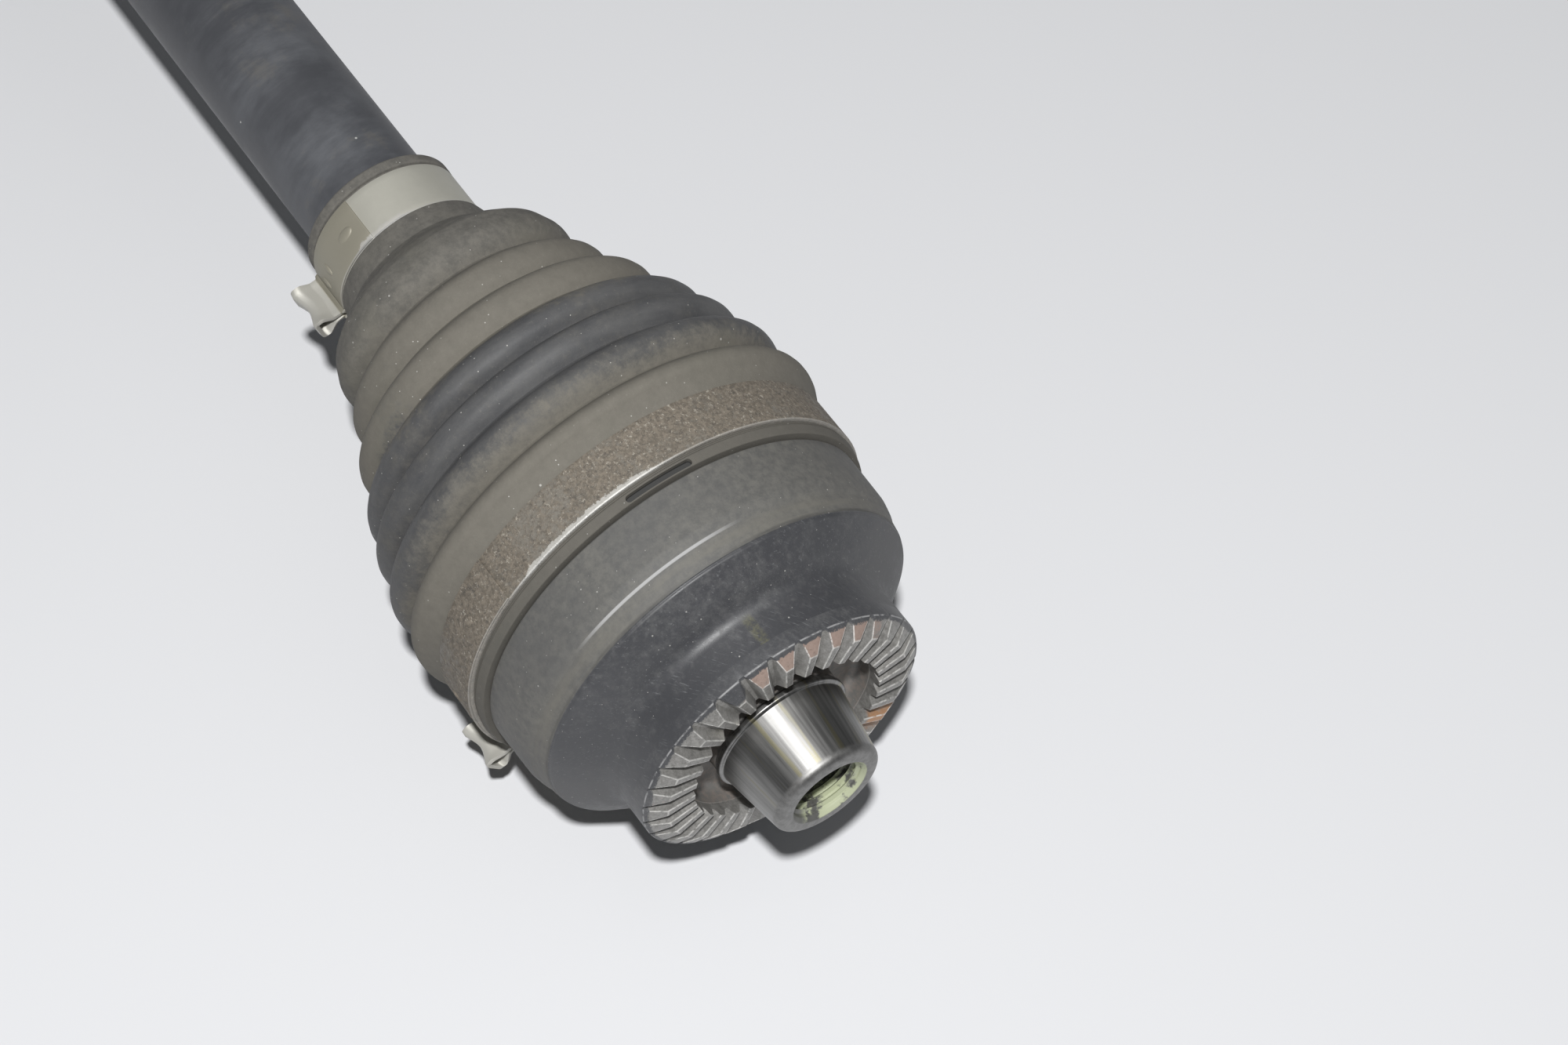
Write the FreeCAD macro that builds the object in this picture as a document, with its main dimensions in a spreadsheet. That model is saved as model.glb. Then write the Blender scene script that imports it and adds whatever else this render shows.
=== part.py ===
import FreeCAD, Part
import math
import os

import Sketcher
from FreeCAD import Placement, Rotation, Vector

# Rear drive shaft of a car: a steel bar with a fixed ball joint at its outer end and a
# plunging tripod joint at its inner end, each under a ribbed boot held by two clamps.
# Millimetres. +X points to the wheel, +Z up. The origin is on the shaft's axis, in the
# plane of the outer rim of the face teeth. Angles about the axis are counted from +Z.

SIZES = {
    # Edge break, and the length of small ramps
    "edge": 1.0,
    # Bar
    "bar_radius": 14.6,
    "bar_neck_radius": 11.0,
    "bar_end_reach": 15.5,
    "bar_seat_depth": 0.6,
    "bar_land": 6.0,
    "bar_taper": 24.0,
    "neck_land": 8.0,
    "neck_taper": 12.0,
    "neck_rise": 4.0,
    "joint_distance": 470.0,
    # Splines of the bar and of the stub
    "spline_tip_radius": 12.6,
    "spline_root_radius": 11.5,
    "spline_teeth": 28,
    "spline_play": 0.05,
    "spline_runout": 3.0,
    # Rings that hold the races on the bar
    "ring_wire": 1.6,
    "ring_play": 0.1,
    "ring_gap_angle": 34.0,
    # Outer joint
    "outer_centre": 40.0,
    "ball_radius": 8.0,
    "ball_count": 6,
    "track_play": 0.9,
    "window_play": 0.03,
    "window_length": 20.0,
    "window_corner": 4.0,
    "race_play": 0.3,
    "cage_outer_radius": 30.7,
    "cage_wall": 4.4,
    "cage_half_width": 12.2,
    "star_half_width": 11.0,
    "track_closed_angle": 40.0,
    "track_open_angle": 66.0,
    # Bell of the outer joint
    "bell_radius": 44.2,
    "bell_shoulder_reach": 17.4,
    "bell_shoulder_run": 4.8,
    "bell_shoulder_drop": 4.7,
    "bell_shoulder_round": 7.8,
    "bell_seat_radius": 42.9,
    "bell_seat_reach": 36.8,
    "bell_mouth_lip": 2.0,
    "bell_mouth_radius": 36.4,
    "bell_sphere_reach": 10.0,
    "bell_floor_reach": 25.0,
    "boot_groove_depth": 0.9,
    "boot_groove_width": 5.0,
    # Collar with the face teeth
    "teeth_outer_radius": 32.6,
    "teeth_inner_radius": 21.75,
    "teeth_slope_radius": 28.2,
    "teeth_slope_drop": 2.0,
    "teeth_count": 32,
    "teeth_depth": 2.6,
    "teeth_crest_share": 0.3,
    "teeth_root_share": 0.15,
    "teeth_turn": 7.25,
    "teeth_cut_margin": 1.0,
    "collar_length": 7.6,
    "collar_fillet": 3.2,
    "collar_slope": 68.0,
    # Spigot inside the teeth
    "spigot_tip_reach": 16.0,
    "spigot_tip_radius": 11.8,
    "spigot_base_radius": 14.3,
    "spigot_collar_radius": 15.1,
    "spigot_collar_reach": 1.2,
    "spigot_edge": 1.2,
    "pocket_depth": 5.5,
    "thread_bore_radius": 7.25,
    "thread_mouth_radius": 8.4,
    "thread_mouth_depth": 1.6,
    "thread_end": 7.0,
    "thread_cone": 4.2,
    # Outer boot
    "boot_wall": 2.2,
    "boot_crests": 7,
    "outer_boot_small_radius": 28.8,
    "outer_boot_large_radius": 49.2,
    "outer_boot_growth": 1.5,
    "outer_boot_first_crest": 14.1,
    "boot_neck_length": 5.0,
    "boot_neck_rise": 2.6,
    "boot_crest_share": 0.34,
    "boot_shoulder_share": 0.66,
    "boot_shoulder_drop": 1.3,
    "boot_valley_depth": 4.2,
    "boot_last_crest": 7.7,
    "boot_seat_room": 1.1,
    "boot_large_wall": 2.8,
    "boot_play": 0.1,
    "outer_boot_seat": 136.0,
    "boot_small_seat_length": 15.4,
    "boot_lip_height": 0.9,
    "boot_lip_width": 2.4,
    "boot_ramp": 0.4,
    "boot_end_bead": 0.5,
    "boot_end_bead_width": 2.6,
    # Clamps
    "clamp_band": 0.9,
    "large_clamp_width": 10.8,
    "small_clamp_width": 11.6,
    "clamp_gap": 0.4,
    "ear_height": 9.3,
    "ear_foot": 1.4,
    "ear_top": 4.6,
    "ear_width_share": 0.86,
    "outer_large_ear_turn": 128.0,
    "outer_small_ear_turn": 107.0,
    "inner_large_ear_turn": 232.0,
    "inner_small_ear_turn": 252.0,
    # Tripod joint
    "trunnion_radius": 9.0,
    "trunnion_tip": 33.6,
    "spider_hub_radius": 16.4,
    "spider_half_width": 11.5,
    "roller_radius": 17.0,
    "roller_pitch_radius": 23.5,
    "roller_half_width": 6.5,
    "roller_track_play": 0.65,
    "needle_radius": 1.5,
    "needle_count": 21,
    "needle_play": 0.03,
    "washer_width": 1.0,
    "washer_rim": 3.2,
    "snap_ring_width": 1.0,
    "snap_ring_depth": 0.7,
    "snap_ring_rim": 1.5,
    # Housing of the tripod joint
    "housing_radius": 43.6,
    "housing_mouth_reach": 34.0,
    "housing_floor_reach": 42.0,
    "housing_land_radius": 26.0,
    "housing_mouth_radius": 30.5,
    "housing_mouth_cone": 13.0,
    "housing_back": 8.0,
    "housing_back_round": 9.0,
    "scallop_radius": 28.0,
    "scallop_offset": 62.0,
    "stub_root_radius": 24.0,
    "stub_root_cone": 3.0,
    "stub_relief_length": 3.0,
    "stub_relief_depth": 0.6,
    "journal_radius": 19.0,
    "journal_start": 8.0,
    "journal_length": 26.0,
    "stub_spline_radius": 14.6,
    "stub_spline_root": 13.4,
    "stub_spline_teeth": 30,
    "stub_spline_length": 38.0,
    "pilot_radius": 11.8,
    "pilot_length": 9.0,
    "stub_ring_wire": 1.8,
    "stub_ring_setback": 5.0,
    # Inner boot and its adaptor
    "adaptor_wall": 1.2,
    "adaptor_play": 0.1,
    "adaptor_length": 17.0,
    "adaptor_lip": 2.0,
    "inner_boot_crests": 6,
    "inner_boot_small_radius": 24.0,
    "inner_boot_large_radius": 44.0,
    "inner_boot_growth": 1.2,
    "inner_boot_first_crest": 7.4,
    "inner_boot_seat": 82.0,
}

PARTS_FOLDER = "parts"
FULL_TURN = 360
TRUNNIONS = 3
# Width of a spline's tooth space, as a share of the pitch.
SPACE_AT_ROOT = 0.42
SPACE_AT_TIP = 0.6

doc = FreeCAD.newDocument("drive_shaft")
sheet = doc.addObject("Spreadsheet::Sheet", "sizes")


class Size:
    """A number together with the sheet expression that gives it."""

    def __init__(self, number, text):
        self.number = float(number)
        self.text = text

    def __add__(self, other):
        other = as_size(other)
        return Size(self.number + other.number, f"({self.text} + {other.text})")

    def __radd__(self, other):
        return as_size(other) + self

    def __sub__(self, other):
        other = as_size(other)
        return Size(self.number - other.number, f"({self.text} - {other.text})")

    def __rsub__(self, other):
        return as_size(other) - self

    def __mul__(self, other):
        other = as_size(other)
        return Size(self.number * other.number, f"({self.text} * {other.text})")

    def __rmul__(self, other):
        return as_size(other) * self

    def __truediv__(self, other):
        other = as_size(other)
        return Size(self.number / other.number, f"({self.text} / {other.text})")

    def __rtruediv__(self, other):
        return as_size(other) / self

    def __neg__(self):
        return Size(-self.number, f"(0 - {self.text})")


def as_size(value):
    """A plain number becomes a size whose text is the number."""
    if isinstance(value, Size):
        return value
    return Size(value, repr(value))


def root(value):
    return Size(math.sqrt(value.number), f"sqrt({value.text})")


def power(value, exponent):
    return Size(value.number ** exponent.number, f"({value.text} ^ {exponent.text})")


def sine(value):
    """The sine of an angle in degrees."""
    return Size(math.sin(math.radians(value.number)), f"sin({value.text})")


def cosine(value):
    """The cosine of an angle in degrees."""
    return Size(math.cos(math.radians(value.number)), f"cos({value.text})")


def sphere_reach(radius, along):
    """How far from the axis a sphere's surface lies, at a distance along from its centre."""
    return root(radius * radius - along * along)


class Sizes:
    """Every row of the sheet as an attribute."""

    def __init__(self):
        for row, (name, number) in enumerate(SIZES.items(), start=1):
            sheet.set(f"A{row}", name)
            sheet.set(f"B{row}", str(number))
            sheet.setAlias(f"B{row}", name)
            setattr(self, name, Size(number, f"sizes.{name}"))


size = Sizes()
doc.recompute()

# Places along the axis that several pieces share.
outer_x = -size.outer_centre
inner_x = outer_x - size.joint_distance
boot_band_end = -size.bell_seat_reach
clamp_room = size.large_clamp_width + 2 * size.clamp_gap
boot_band_start = boot_band_end - size.boot_end_bead_width - clamp_room - size.boot_seat_room
bell_mouth = boot_band_start - size.bell_mouth_lip
outer_clamp_middle = boot_band_end - size.boot_end_bead_width - clamp_room / 2
housing_mouth = inner_x + size.housing_mouth_reach
housing_floor = inner_x - size.housing_floor_reach
housing_back = housing_floor - size.housing_back
track_radius = size.ball_radius + size.track_play
cage_inner_radius = size.cage_outer_radius - size.cage_wall
ball_pitch_radius = size.cage_outer_radius - size.cage_wall / 2
bell_sphere = size.cage_outer_radius + size.race_play
star_radius = cage_inner_radius - size.race_play
roller_bore = size.trunnion_radius + 2 * size.needle_radius + 2 * size.needle_play


def bind(target, prop, value):
    """Set a property to a plain number, or tie it to the sheet."""
    if isinstance(value, Size):
        target.setExpression(prop, value.text)
        return
    setattr(target, prop, value)


def origin_item(body, role):
    for item in body.Origin.OriginFeatures:
        if item.Role == role:
            return item
    raise RuntimeError(f"no {role} in {body.Name}")


def new_body(name):
    body = doc.addObject("PartDesign::Body", name)
    body.Label = name
    return body


class Arc:
    """A step of an outline: a round stretch to a corner. turn is 1 for left and -1 for right."""

    def __init__(self, x, y, radius, turn):
        self.end = (x, y)
        self.radius = as_size(radius)
        self.turn = turn


def arc_edge(start, end, radius, turn):
    """The arc of a circle from start to end, and which of its ends comes first."""
    chord = end - start
    middle = (start + end) * 0.5
    left = Vector(-chord.y, chord.x, 0).normalize()
    height = math.sqrt(max(radius * radius - chord.Length * chord.Length / 4, 0))
    centre = middle + left * height * turn
    angle_start = math.atan2(start.y - centre.y, start.x - centre.x)
    angle_end = math.atan2(end.y - centre.y, end.x - centre.x)
    circle = Part.Circle(centre, Vector(0, 0, 1), radius)
    if turn > 0:
        return Part.ArcOfCircle(circle, angle_start, angle_end), 1, 2
    return Part.ArcOfCircle(circle, angle_end, angle_start), 2, 1


def hold_distance(sketch, kind, edge, end, value):
    """Hold a corner at a distance from the sketch's origin, from the sheet."""
    value = as_size(value)
    if value.text == "0":
        axis = -2 if kind == "DistanceX" else -1
        sketch.addConstraint(Sketcher.Constraint("PointOnObject", edge, end, axis))
        return
    number = sketch.addConstraint(Sketcher.Constraint(kind, -1, 1, edge, end, value.number))
    if "sizes." in value.text:
        sketch.setExpression(f"Constraints[{number}]", value.text)


def hold_radius(sketch, edge, value):
    number = sketch.addConstraint(Sketcher.Constraint("Radius", edge, value.number))
    if "sizes." in value.text:
        sketch.setExpression(f"Constraints[{number}]", value.text)


def new_sketch(body, name, plane, shift=None, turn=None):
    """An empty sketch on one of the body's origin planes, moved and turned from the sheet."""
    sketch = body.newObject("Sketcher::SketchObject", name)
    sketch.AttachmentSupport = [(origin_item(body, plane), "")]
    sketch.MapMode = "FlatFace"
    if shift is not None:
        sketch.AttachmentOffset = Placement(Vector(0, 0, shift.number), Rotation())
        sketch.setExpression("AttachmentOffset.Base.z", shift.text)
    if turn is not None:
        spin = Rotation(Vector(0, 0, 1), turn.number)
        sketch.AttachmentOffset = Placement(sketch.AttachmentOffset.Base, spin)
        sketch.setExpression("AttachmentOffset.Rotation.Angle", turn.text)
    return sketch


def lean_out(sketch, radius, angle):
    """Move a sketch on the XY plane out to a radius, at an angle about the axis from +Z."""
    across = -radius * sine(angle)
    up = radius * cosine(angle)
    lean = Rotation(Vector(1, 0, 0), angle.number)
    sketch.AttachmentOffset = Placement(Vector(0, across.number, up.number), lean)
    sketch.setExpression("AttachmentOffset.Base.y", across.text)
    sketch.setExpression("AttachmentOffset.Base.z", up.text)
    sketch.setExpression("AttachmentOffset.Rotation.Angle", angle.text)


def corner(step):
    return step.end if isinstance(step, Arc) else step


def as_point(pair):
    return Vector(as_size(pair[0]).number, as_size(pair[1]).number, 0)


def outline(body, name, plane, steps, shift=None, turn=None):
    """A closed outline of straight and round stretches, each corner held from the sheet."""
    sketch = new_sketch(body, name, plane, shift, turn)
    ends = []
    for index, step in enumerate(steps):
        start = as_point(corner(steps[index - 1]))
        end = as_point(corner(step))
        if isinstance(step, Arc):
            edge, first, last = arc_edge(start, end, step.radius.number, step.turn)
        else:
            edge, first, last = Part.LineSegment(start, end), 1, 2
        sketch.addGeometry(edge, False)
        ends.append((first, last))
    for index, step in enumerate(steps):
        before = index - 1 if index else len(steps) - 1
        joint = Sketcher.Constraint(
            "Coincident", before, ends[before][1], index, ends[index][0]
        )
        sketch.addConstraint(joint)
    for index, step in enumerate(steps):
        if isinstance(step, Arc):
            hold_radius(sketch, index, step.radius)
        hold_distance(sketch, "DistanceX", index, ends[index][1], corner(step)[0])
        hold_distance(sketch, "DistanceY", index, ends[index][1], corner(step)[1])
    return sketch


def round_hole(body, name, plane, centre, radius, shift=None, turn=None):
    """A sketch that holds one circle."""
    sketch = new_sketch(body, name, plane, shift, turn)
    circle = Part.Circle(as_point(centre), Vector(0, 0, 1), as_size(radius).number)
    sketch.addGeometry(circle, False)
    hold_distance(sketch, "DistanceX", 0, 3, centre[0])
    hold_distance(sketch, "DistanceY", 0, 3, centre[1])
    hold_radius(sketch, 0, as_size(radius))
    return sketch


def finish_feature(body, feature):
    body.Tip = feature
    doc.recompute()
    return feature


def revolve(body, sketch, angle=FULL_TURN, axis="H_Axis"):
    feature = body.newObject("PartDesign::Revolution", f"{sketch.Name}_turned")
    feature.Profile = sketch
    feature.ReferenceAxis = (sketch, [axis])
    bind(feature, "Angle", angle)
    return finish_feature(body, feature)


def groove(body, sketch, angle, other_angle=None, axis="H_Axis"):
    """Cut a groove by turning a sketch, both ways where two angles are given."""
    feature = body.newObject("PartDesign::Groove", f"{sketch.Name}_cut")
    feature.Profile = sketch
    feature.ReferenceAxis = (sketch, [axis])
    if other_angle is not None:
        feature.Type = "TwoAngles"
        bind(feature, "Angle2", other_angle)
    bind(feature, "Angle", angle)
    return finish_feature(body, feature)


def pad(body, sketch, length, both_ways=False):
    feature = body.newObject("PartDesign::Pad", f"{sketch.Name}_raised")
    feature.Profile = sketch
    bind(feature, "Length", length)
    feature.Midplane = both_ways
    return finish_feature(body, feature)


def pocket(body, sketch, length, reverse=False):
    feature = body.newObject("PartDesign::Pocket", f"{sketch.Name}_cut")
    feature.Profile = sketch
    bind(feature, "Length", length)
    feature.Reversed = reverse
    return finish_feature(body, feature)


def around_axis(body, features, count, angle=FULL_TURN):
    """Repeat features evenly about the body's X axis."""
    pattern = body.newObject("PartDesign::PolarPattern", f"{features[0].Name}_around")
    pattern.Originals = features
    pattern.Axis = (origin_item(body, "X_Axis"), [""])
    pattern.Angle = angle
    bind(pattern, "Occurrences", count)
    return finish_feature(body, pattern)


def spline_grooves(body, name, start, length, tip, root_radius, teeth):
    """Cut the tooth spaces of an outer spline, from start towards +X."""
    half = 180 / teeth
    low_half = root_radius * sine(half * SPACE_AT_ROOT)
    high_half = tip * sine(half * SPACE_AT_TIP)
    past = tip + (tip - root_radius)
    past_half = high_half + (high_half - low_half)
    steps = [
        (-low_half, root_radius),
        (low_half, root_radius),
        (past_half, past),
        (-past_half, past),
    ]
    sketch = outline(body, name, "YZ_Plane", steps, shift=start)
    cut = pocket(body, sketch, length, reverse=True)
    return around_axis(body, [cut], teeth)


def spline_spaces(body, name, start, length, tip, root_radius, teeth, play):
    """Cut the spaces of an inner spline that an outer spline's teeth fill."""
    half = 180 / teeth
    low = root_radius
    high = tip + play
    low_half = low * sine(half * (1 - SPACE_AT_ROOT)) + play
    high_half = high * sine(half * (1 - SPACE_AT_TIP)) + play
    steps = [(-low_half, low), (low_half, low), (high_half, high), (-high_half, high)]
    sketch = outline(body, name, "YZ_Plane", steps, shift=start, turn=half)
    cut = pocket(body, sketch, length, reverse=True)
    return around_axis(body, [cut], teeth)


def bar_end_ring(x):
    """Corners of a ring's groove in a splined end of the bar, from its edge nearest +X."""
    tip = size.spline_tip_radius
    low = tip - size.ring_wire / 2
    return [(x + size.ring_wire, tip), (x + size.ring_wire, low), (x, low), (x, tip)]


def bar_boot_seat(x):
    """Corners of a boot's seat on the bar, from its edge nearest +X."""
    high = size.bar_radius
    low = high - size.bar_seat_depth
    end = x - size.boot_small_seat_length
    return [(x, high), (x - size.edge, low), (end + size.edge, low), (end, high)]


def make_bar():
    """The bar: splined at both ends, thinner inside the joints, with seats for the boots."""
    body = new_body("bar_shaft")
    tip = size.spline_tip_radius
    edge = size.edge
    wire = size.ring_wire
    outer_end = outer_x + size.bar_end_reach
    inner_end = inner_x - size.bar_end_reach
    outer_stop = outer_x - size.star_half_width - size.ring_play
    inner_stop = inner_x + size.spider_half_width + size.ring_play
    inner_seat = inner_x + size.inner_boot_seat
    outer_taper = outer_stop - wire - size.bar_land
    inner_taper = inner_seat - size.neck_land
    inner_rise = inner_stop + wire + size.neck_rise
    steps = [(outer_end, 0), (outer_end, tip - edge), (outer_end - edge, tip)]
    steps += bar_end_ring(outer_x + size.star_half_width + size.ring_play)
    steps += bar_end_ring(outer_stop - wire)
    steps += [(outer_taper, tip), (outer_taper - size.bar_taper, size.bar_radius)]
    steps += bar_boot_seat(-size.outer_boot_seat)
    steps += bar_boot_seat(inner_seat + size.boot_small_seat_length)
    steps += [
        (inner_taper, size.bar_radius),
        (inner_taper - size.neck_taper, size.bar_neck_radius),
        (inner_rise + size.neck_rise, size.bar_neck_radius),
        (inner_rise, tip),
    ]
    steps += bar_end_ring(inner_stop)
    steps += bar_end_ring(inner_x - size.spider_half_width - size.ring_play - wire)
    steps += [(inner_end + edge, tip), (inner_end, tip - edge), (inner_end, 0)]
    revolve(body, outline(body, "bar_outline", "XZ_Plane", steps))
    outer_start = outer_stop - wire - size.spline_runout
    cut_bar_spline(body, "outer_spline", outer_start, outer_end + edge)
    inner_start = inner_end - edge
    cut_bar_spline(body, "inner_spline", inner_start, inner_stop + wire + size.spline_runout)
    return body


def cut_bar_spline(body, name, start, end):
    spline_grooves(
        body, name, start, end - start, size.spline_tip_radius, size.spline_root_radius,
        size.spline_teeth,
    )


def make_ring(name, x, inner_radius, wire):
    """A square wire ring with a gap, as a circlip or stop ring."""
    body = new_body(name)
    steps = [
        (x, inner_radius),
        (x + wire, inner_radius),
        (x + wire, inner_radius + wire),
        (x, inner_radius + wire),
    ]
    sketch = outline(body, f"{name}_outline", "XZ_Plane", steps)
    revolve(body, sketch, FULL_TURN - size.ring_gap_angle)
    return body


def make_star():
    """The inner race of the ball joint, splined on the bar, with six tracks."""
    body = new_body("outer_joint_inner_race")
    half = size.star_half_width
    bore = size.spline_root_radius + size.spline_play
    rim = sphere_reach(star_radius, half)
    steps = [
        (outer_x - half, bore),
        (outer_x + half, bore),
        (outer_x + half, rim),
        Arc(outer_x - half, rim, star_radius, 1),
    ]
    revolve(body, outline(body, "star_outline", "XZ_Plane", steps))
    centre = (0, ball_pitch_radius)
    track = round_hole(body, "star_track", "YZ_Plane", centre, track_radius, shift=outer_x)
    cut = groove(body, track, size.track_open_angle, size.track_open_angle)
    around_axis(body, [cut], size.ball_count)
    spline_spaces(
        body, "star_spline", outer_x - half - size.edge, 2 * (half + size.edge),
        size.spline_tip_radius, size.spline_root_radius, size.spline_teeth, size.spline_play,
    )
    return body


def make_cage():
    """The ball cage: a ring with one window for each ball."""
    body = new_body("outer_joint_cage")
    half = size.cage_half_width
    outer_rim = sphere_reach(size.cage_outer_radius, half)
    inner_rim = sphere_reach(cage_inner_radius, half)
    steps = [
        Arc(outer_x + half, inner_rim, cage_inner_radius, -1),
        (outer_x + half, outer_rim),
        Arc(outer_x - half, outer_rim, size.cage_outer_radius, 1),
        (outer_x - half, inner_rim),
    ]
    revolve(body, outline(body, "cage_outline", "XZ_Plane", steps))
    wide = size.ball_radius + size.window_play
    long = size.window_length / 2
    round_off = size.window_corner
    left = outer_x - wide
    right = outer_x + wide
    window = [
        Arc(left + round_off, -long, round_off, 1),
        (right - round_off, -long),
        Arc(right, round_off - long, round_off, 1),
        (right, long - round_off),
        Arc(right - round_off, long, round_off, 1),
        (left + round_off, long),
        Arc(left, long - round_off, round_off, 1),
        (left, round_off - long),
    ]
    sketch = outline(body, "window_outline", "XY_Plane", window)
    cut = pocket(body, sketch, size.cage_outer_radius + size.edge, reverse=True)
    around_axis(body, [cut], size.ball_count)
    return body


def compound(name, pieces):
    group = doc.addObject("Part::Compound", name)
    group.Label = name
    group.Links = pieces
    doc.recompute()
    return group


def at_angle(piece, x, radius, angle):
    """Place a piece at a radius and an angle about the axis, counted from +Z."""
    bind_place(piece, x, -radius * sine(angle), radius * cosine(angle))


def bind_place(piece, x, y, z):
    piece.setExpression("Placement.Base.x", as_size(x).text)
    piece.setExpression("Placement.Base.y", as_size(y).text)
    piece.setExpression("Placement.Base.z", as_size(z).text)


def make_balls():
    """The balls, each at its window."""
    balls = []
    for index in range(SIZES["ball_count"]):
        ball = doc.addObject("Part::Sphere", f"ball_{index}")
        bind(ball, "Radius", size.ball_radius)
        at_angle(ball, outer_x, ball_pitch_radius, index * FULL_TURN / size.ball_count)
        balls.append(ball)
    return compound("outer_joint_balls", balls)


def spigot_steps():
    """The thread's bore, the spigot and the pocket between it and the teeth."""
    thread_end = -size.thread_end
    tip = size.spigot_tip_reach
    return [
        (thread_end - size.thread_cone, 0),
        (thread_end, size.thread_bore_radius),
        (tip - size.thread_mouth_depth, size.thread_bore_radius),
        (tip, size.thread_mouth_radius),
        (tip, size.spigot_tip_radius - size.spigot_edge),
        Arc(tip - size.spigot_edge, size.spigot_tip_radius, size.spigot_edge, 1),
        (size.spigot_collar_reach, size.spigot_base_radius),
        (size.spigot_collar_reach, size.spigot_collar_radius),
        (-size.pocket_depth, size.spigot_collar_radius),
        (-size.pocket_depth, size.teeth_inner_radius),
    ]


def collar_steps():
    """The toothed collar's face and neck, and the shoulder that joins it to the bell."""
    neck = size.teeth_outer_radius
    fillet = size.collar_fillet
    slope = size.collar_slope
    shoulder = -size.bell_shoulder_reach
    foot = -size.collar_length - fillet * sine(slope)
    return [
        (size.teeth_slope_drop, size.teeth_inner_radius),
        (size.teeth_slope_drop, size.teeth_slope_radius),
        (0, neck),
        (-size.collar_length, neck),
        Arc(foot, neck + fillet * (1 - cosine(slope)), fillet, -1),
        (shoulder + size.bell_shoulder_run, size.bell_radius - size.bell_shoulder_drop),
        Arc(shoulder, size.bell_radius, size.bell_shoulder_round, 1),
    ]


def shell_steps():
    """The boot's seat with its groove, the mouth and the hollow of the bell."""
    seat = size.bell_seat_radius
    groove_floor = seat - size.boot_groove_depth
    groove_half = size.boot_groove_width / 2
    floor = outer_x + size.bell_floor_reach
    sphere_end = outer_x - size.bell_sphere_reach
    return [
        (boot_band_end, size.bell_radius),
        (boot_band_end, seat),
        (outer_clamp_middle + groove_half, seat),
        (outer_clamp_middle + groove_half, groove_floor),
        (outer_clamp_middle - groove_half, groove_floor),
        (outer_clamp_middle - groove_half, seat),
        (bell_mouth + size.edge, seat),
        (bell_mouth, seat - size.edge),
        (bell_mouth, size.bell_mouth_radius),
        (sphere_end, sphere_reach(bell_sphere, size.bell_sphere_reach)),
        Arc(floor, sphere_reach(bell_sphere, size.bell_floor_reach), bell_sphere, -1),
        (floor, 0),
    ]


def cut_face_teeth(body):
    """Cut the spaces between the face teeth. They narrow to a point on the axis."""
    half = 180 / size.teeth_count
    crest = size.teeth_slope_drop
    margin = size.teeth_cut_margin
    low_half = half * size.teeth_root_share
    high_half = half * (1 - size.teeth_crest_share)
    slope = (high_half - low_half) / size.teeth_depth
    top_half = high_half + slope * margin
    sketches = []
    for name, radius in (
        ("tooth_space_inside", size.teeth_inner_radius - margin),
        ("tooth_space_outside", size.teeth_outer_radius + margin),
    ):
        share = radius / size.teeth_outer_radius
        width = radius * math.pi / 180
        steps = [
            (crest - size.teeth_depth * share, -width * low_half),
            (crest - size.teeth_depth * share, width * low_half),
            (crest + margin * share, width * top_half),
            (crest + margin * share, -width * top_half),
        ]
        sketch = outline(body, name, "XY_Plane", steps)
        lean_out(sketch, radius, size.teeth_turn)
        sketches.append(sketch)
    loft = body.newObject("PartDesign::SubtractiveLoft", "tooth_space")
    loft.Profile = sketches[0]
    loft.Sections = [sketches[1]]
    loft.Ruled = True
    finish_feature(body, loft)
    around_axis(body, [loft], size.teeth_count)


def make_outer_race():
    """The outer race: bell with ball tracks, face teeth towards the hub, threaded spigot."""
    body = new_body("outer_joint_housing")
    steps = spigot_steps() + collar_steps() + shell_steps()
    revolve(body, outline(body, "bell_section", "XZ_Plane", steps))
    centre = (0, ball_pitch_radius)
    track = round_hole(body, "bell_track", "YZ_Plane", centre, track_radius, shift=outer_x)
    cut = groove(body, track, size.track_closed_angle, size.track_open_angle)
    around_axis(body, [cut], size.ball_count)
    cut_face_teeth(body)
    return body


def crest_law(share, small, large, growth):
    """Radius of a crest, from the small end at share 0 to the large end at 1."""
    return small + (large - small) * power(sine(90 * share), growth)


def boot_folds(first, last, crests, small, large, growth):
    """Corners of a boot's crests and valleys, from its small end to its large one."""
    pitch = (last - first) / (crests - 1)
    land = size.boot_crest_share / 2
    shoulder = size.boot_shoulder_share / 2

    def line(place):
        """Radius of the line over the crests, at a place counted in crests."""
        share = place / (crests - 1) if place.number > 0 else as_size(0)
        return crest_law(share, small, large, growth)

    corners = []
    for index in range(int(crests.number)):
        crest = as_size(index)
        if index:
            valley = crest - 0.5
            corners.append((first + pitch * valley, line(valley) - size.boot_valley_depth))
        before = crest - shoulder
        after = crest + shoulder
        corners += [
            (first + pitch * before, line(before) - size.boot_shoulder_drop),
            (first + pitch * (crest - land), line(crest)),
            (first + pitch * (crest + land), line(crest)),
            (first + pitch * after, line(after) - size.boot_shoulder_drop),
        ]
    return corners


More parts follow.
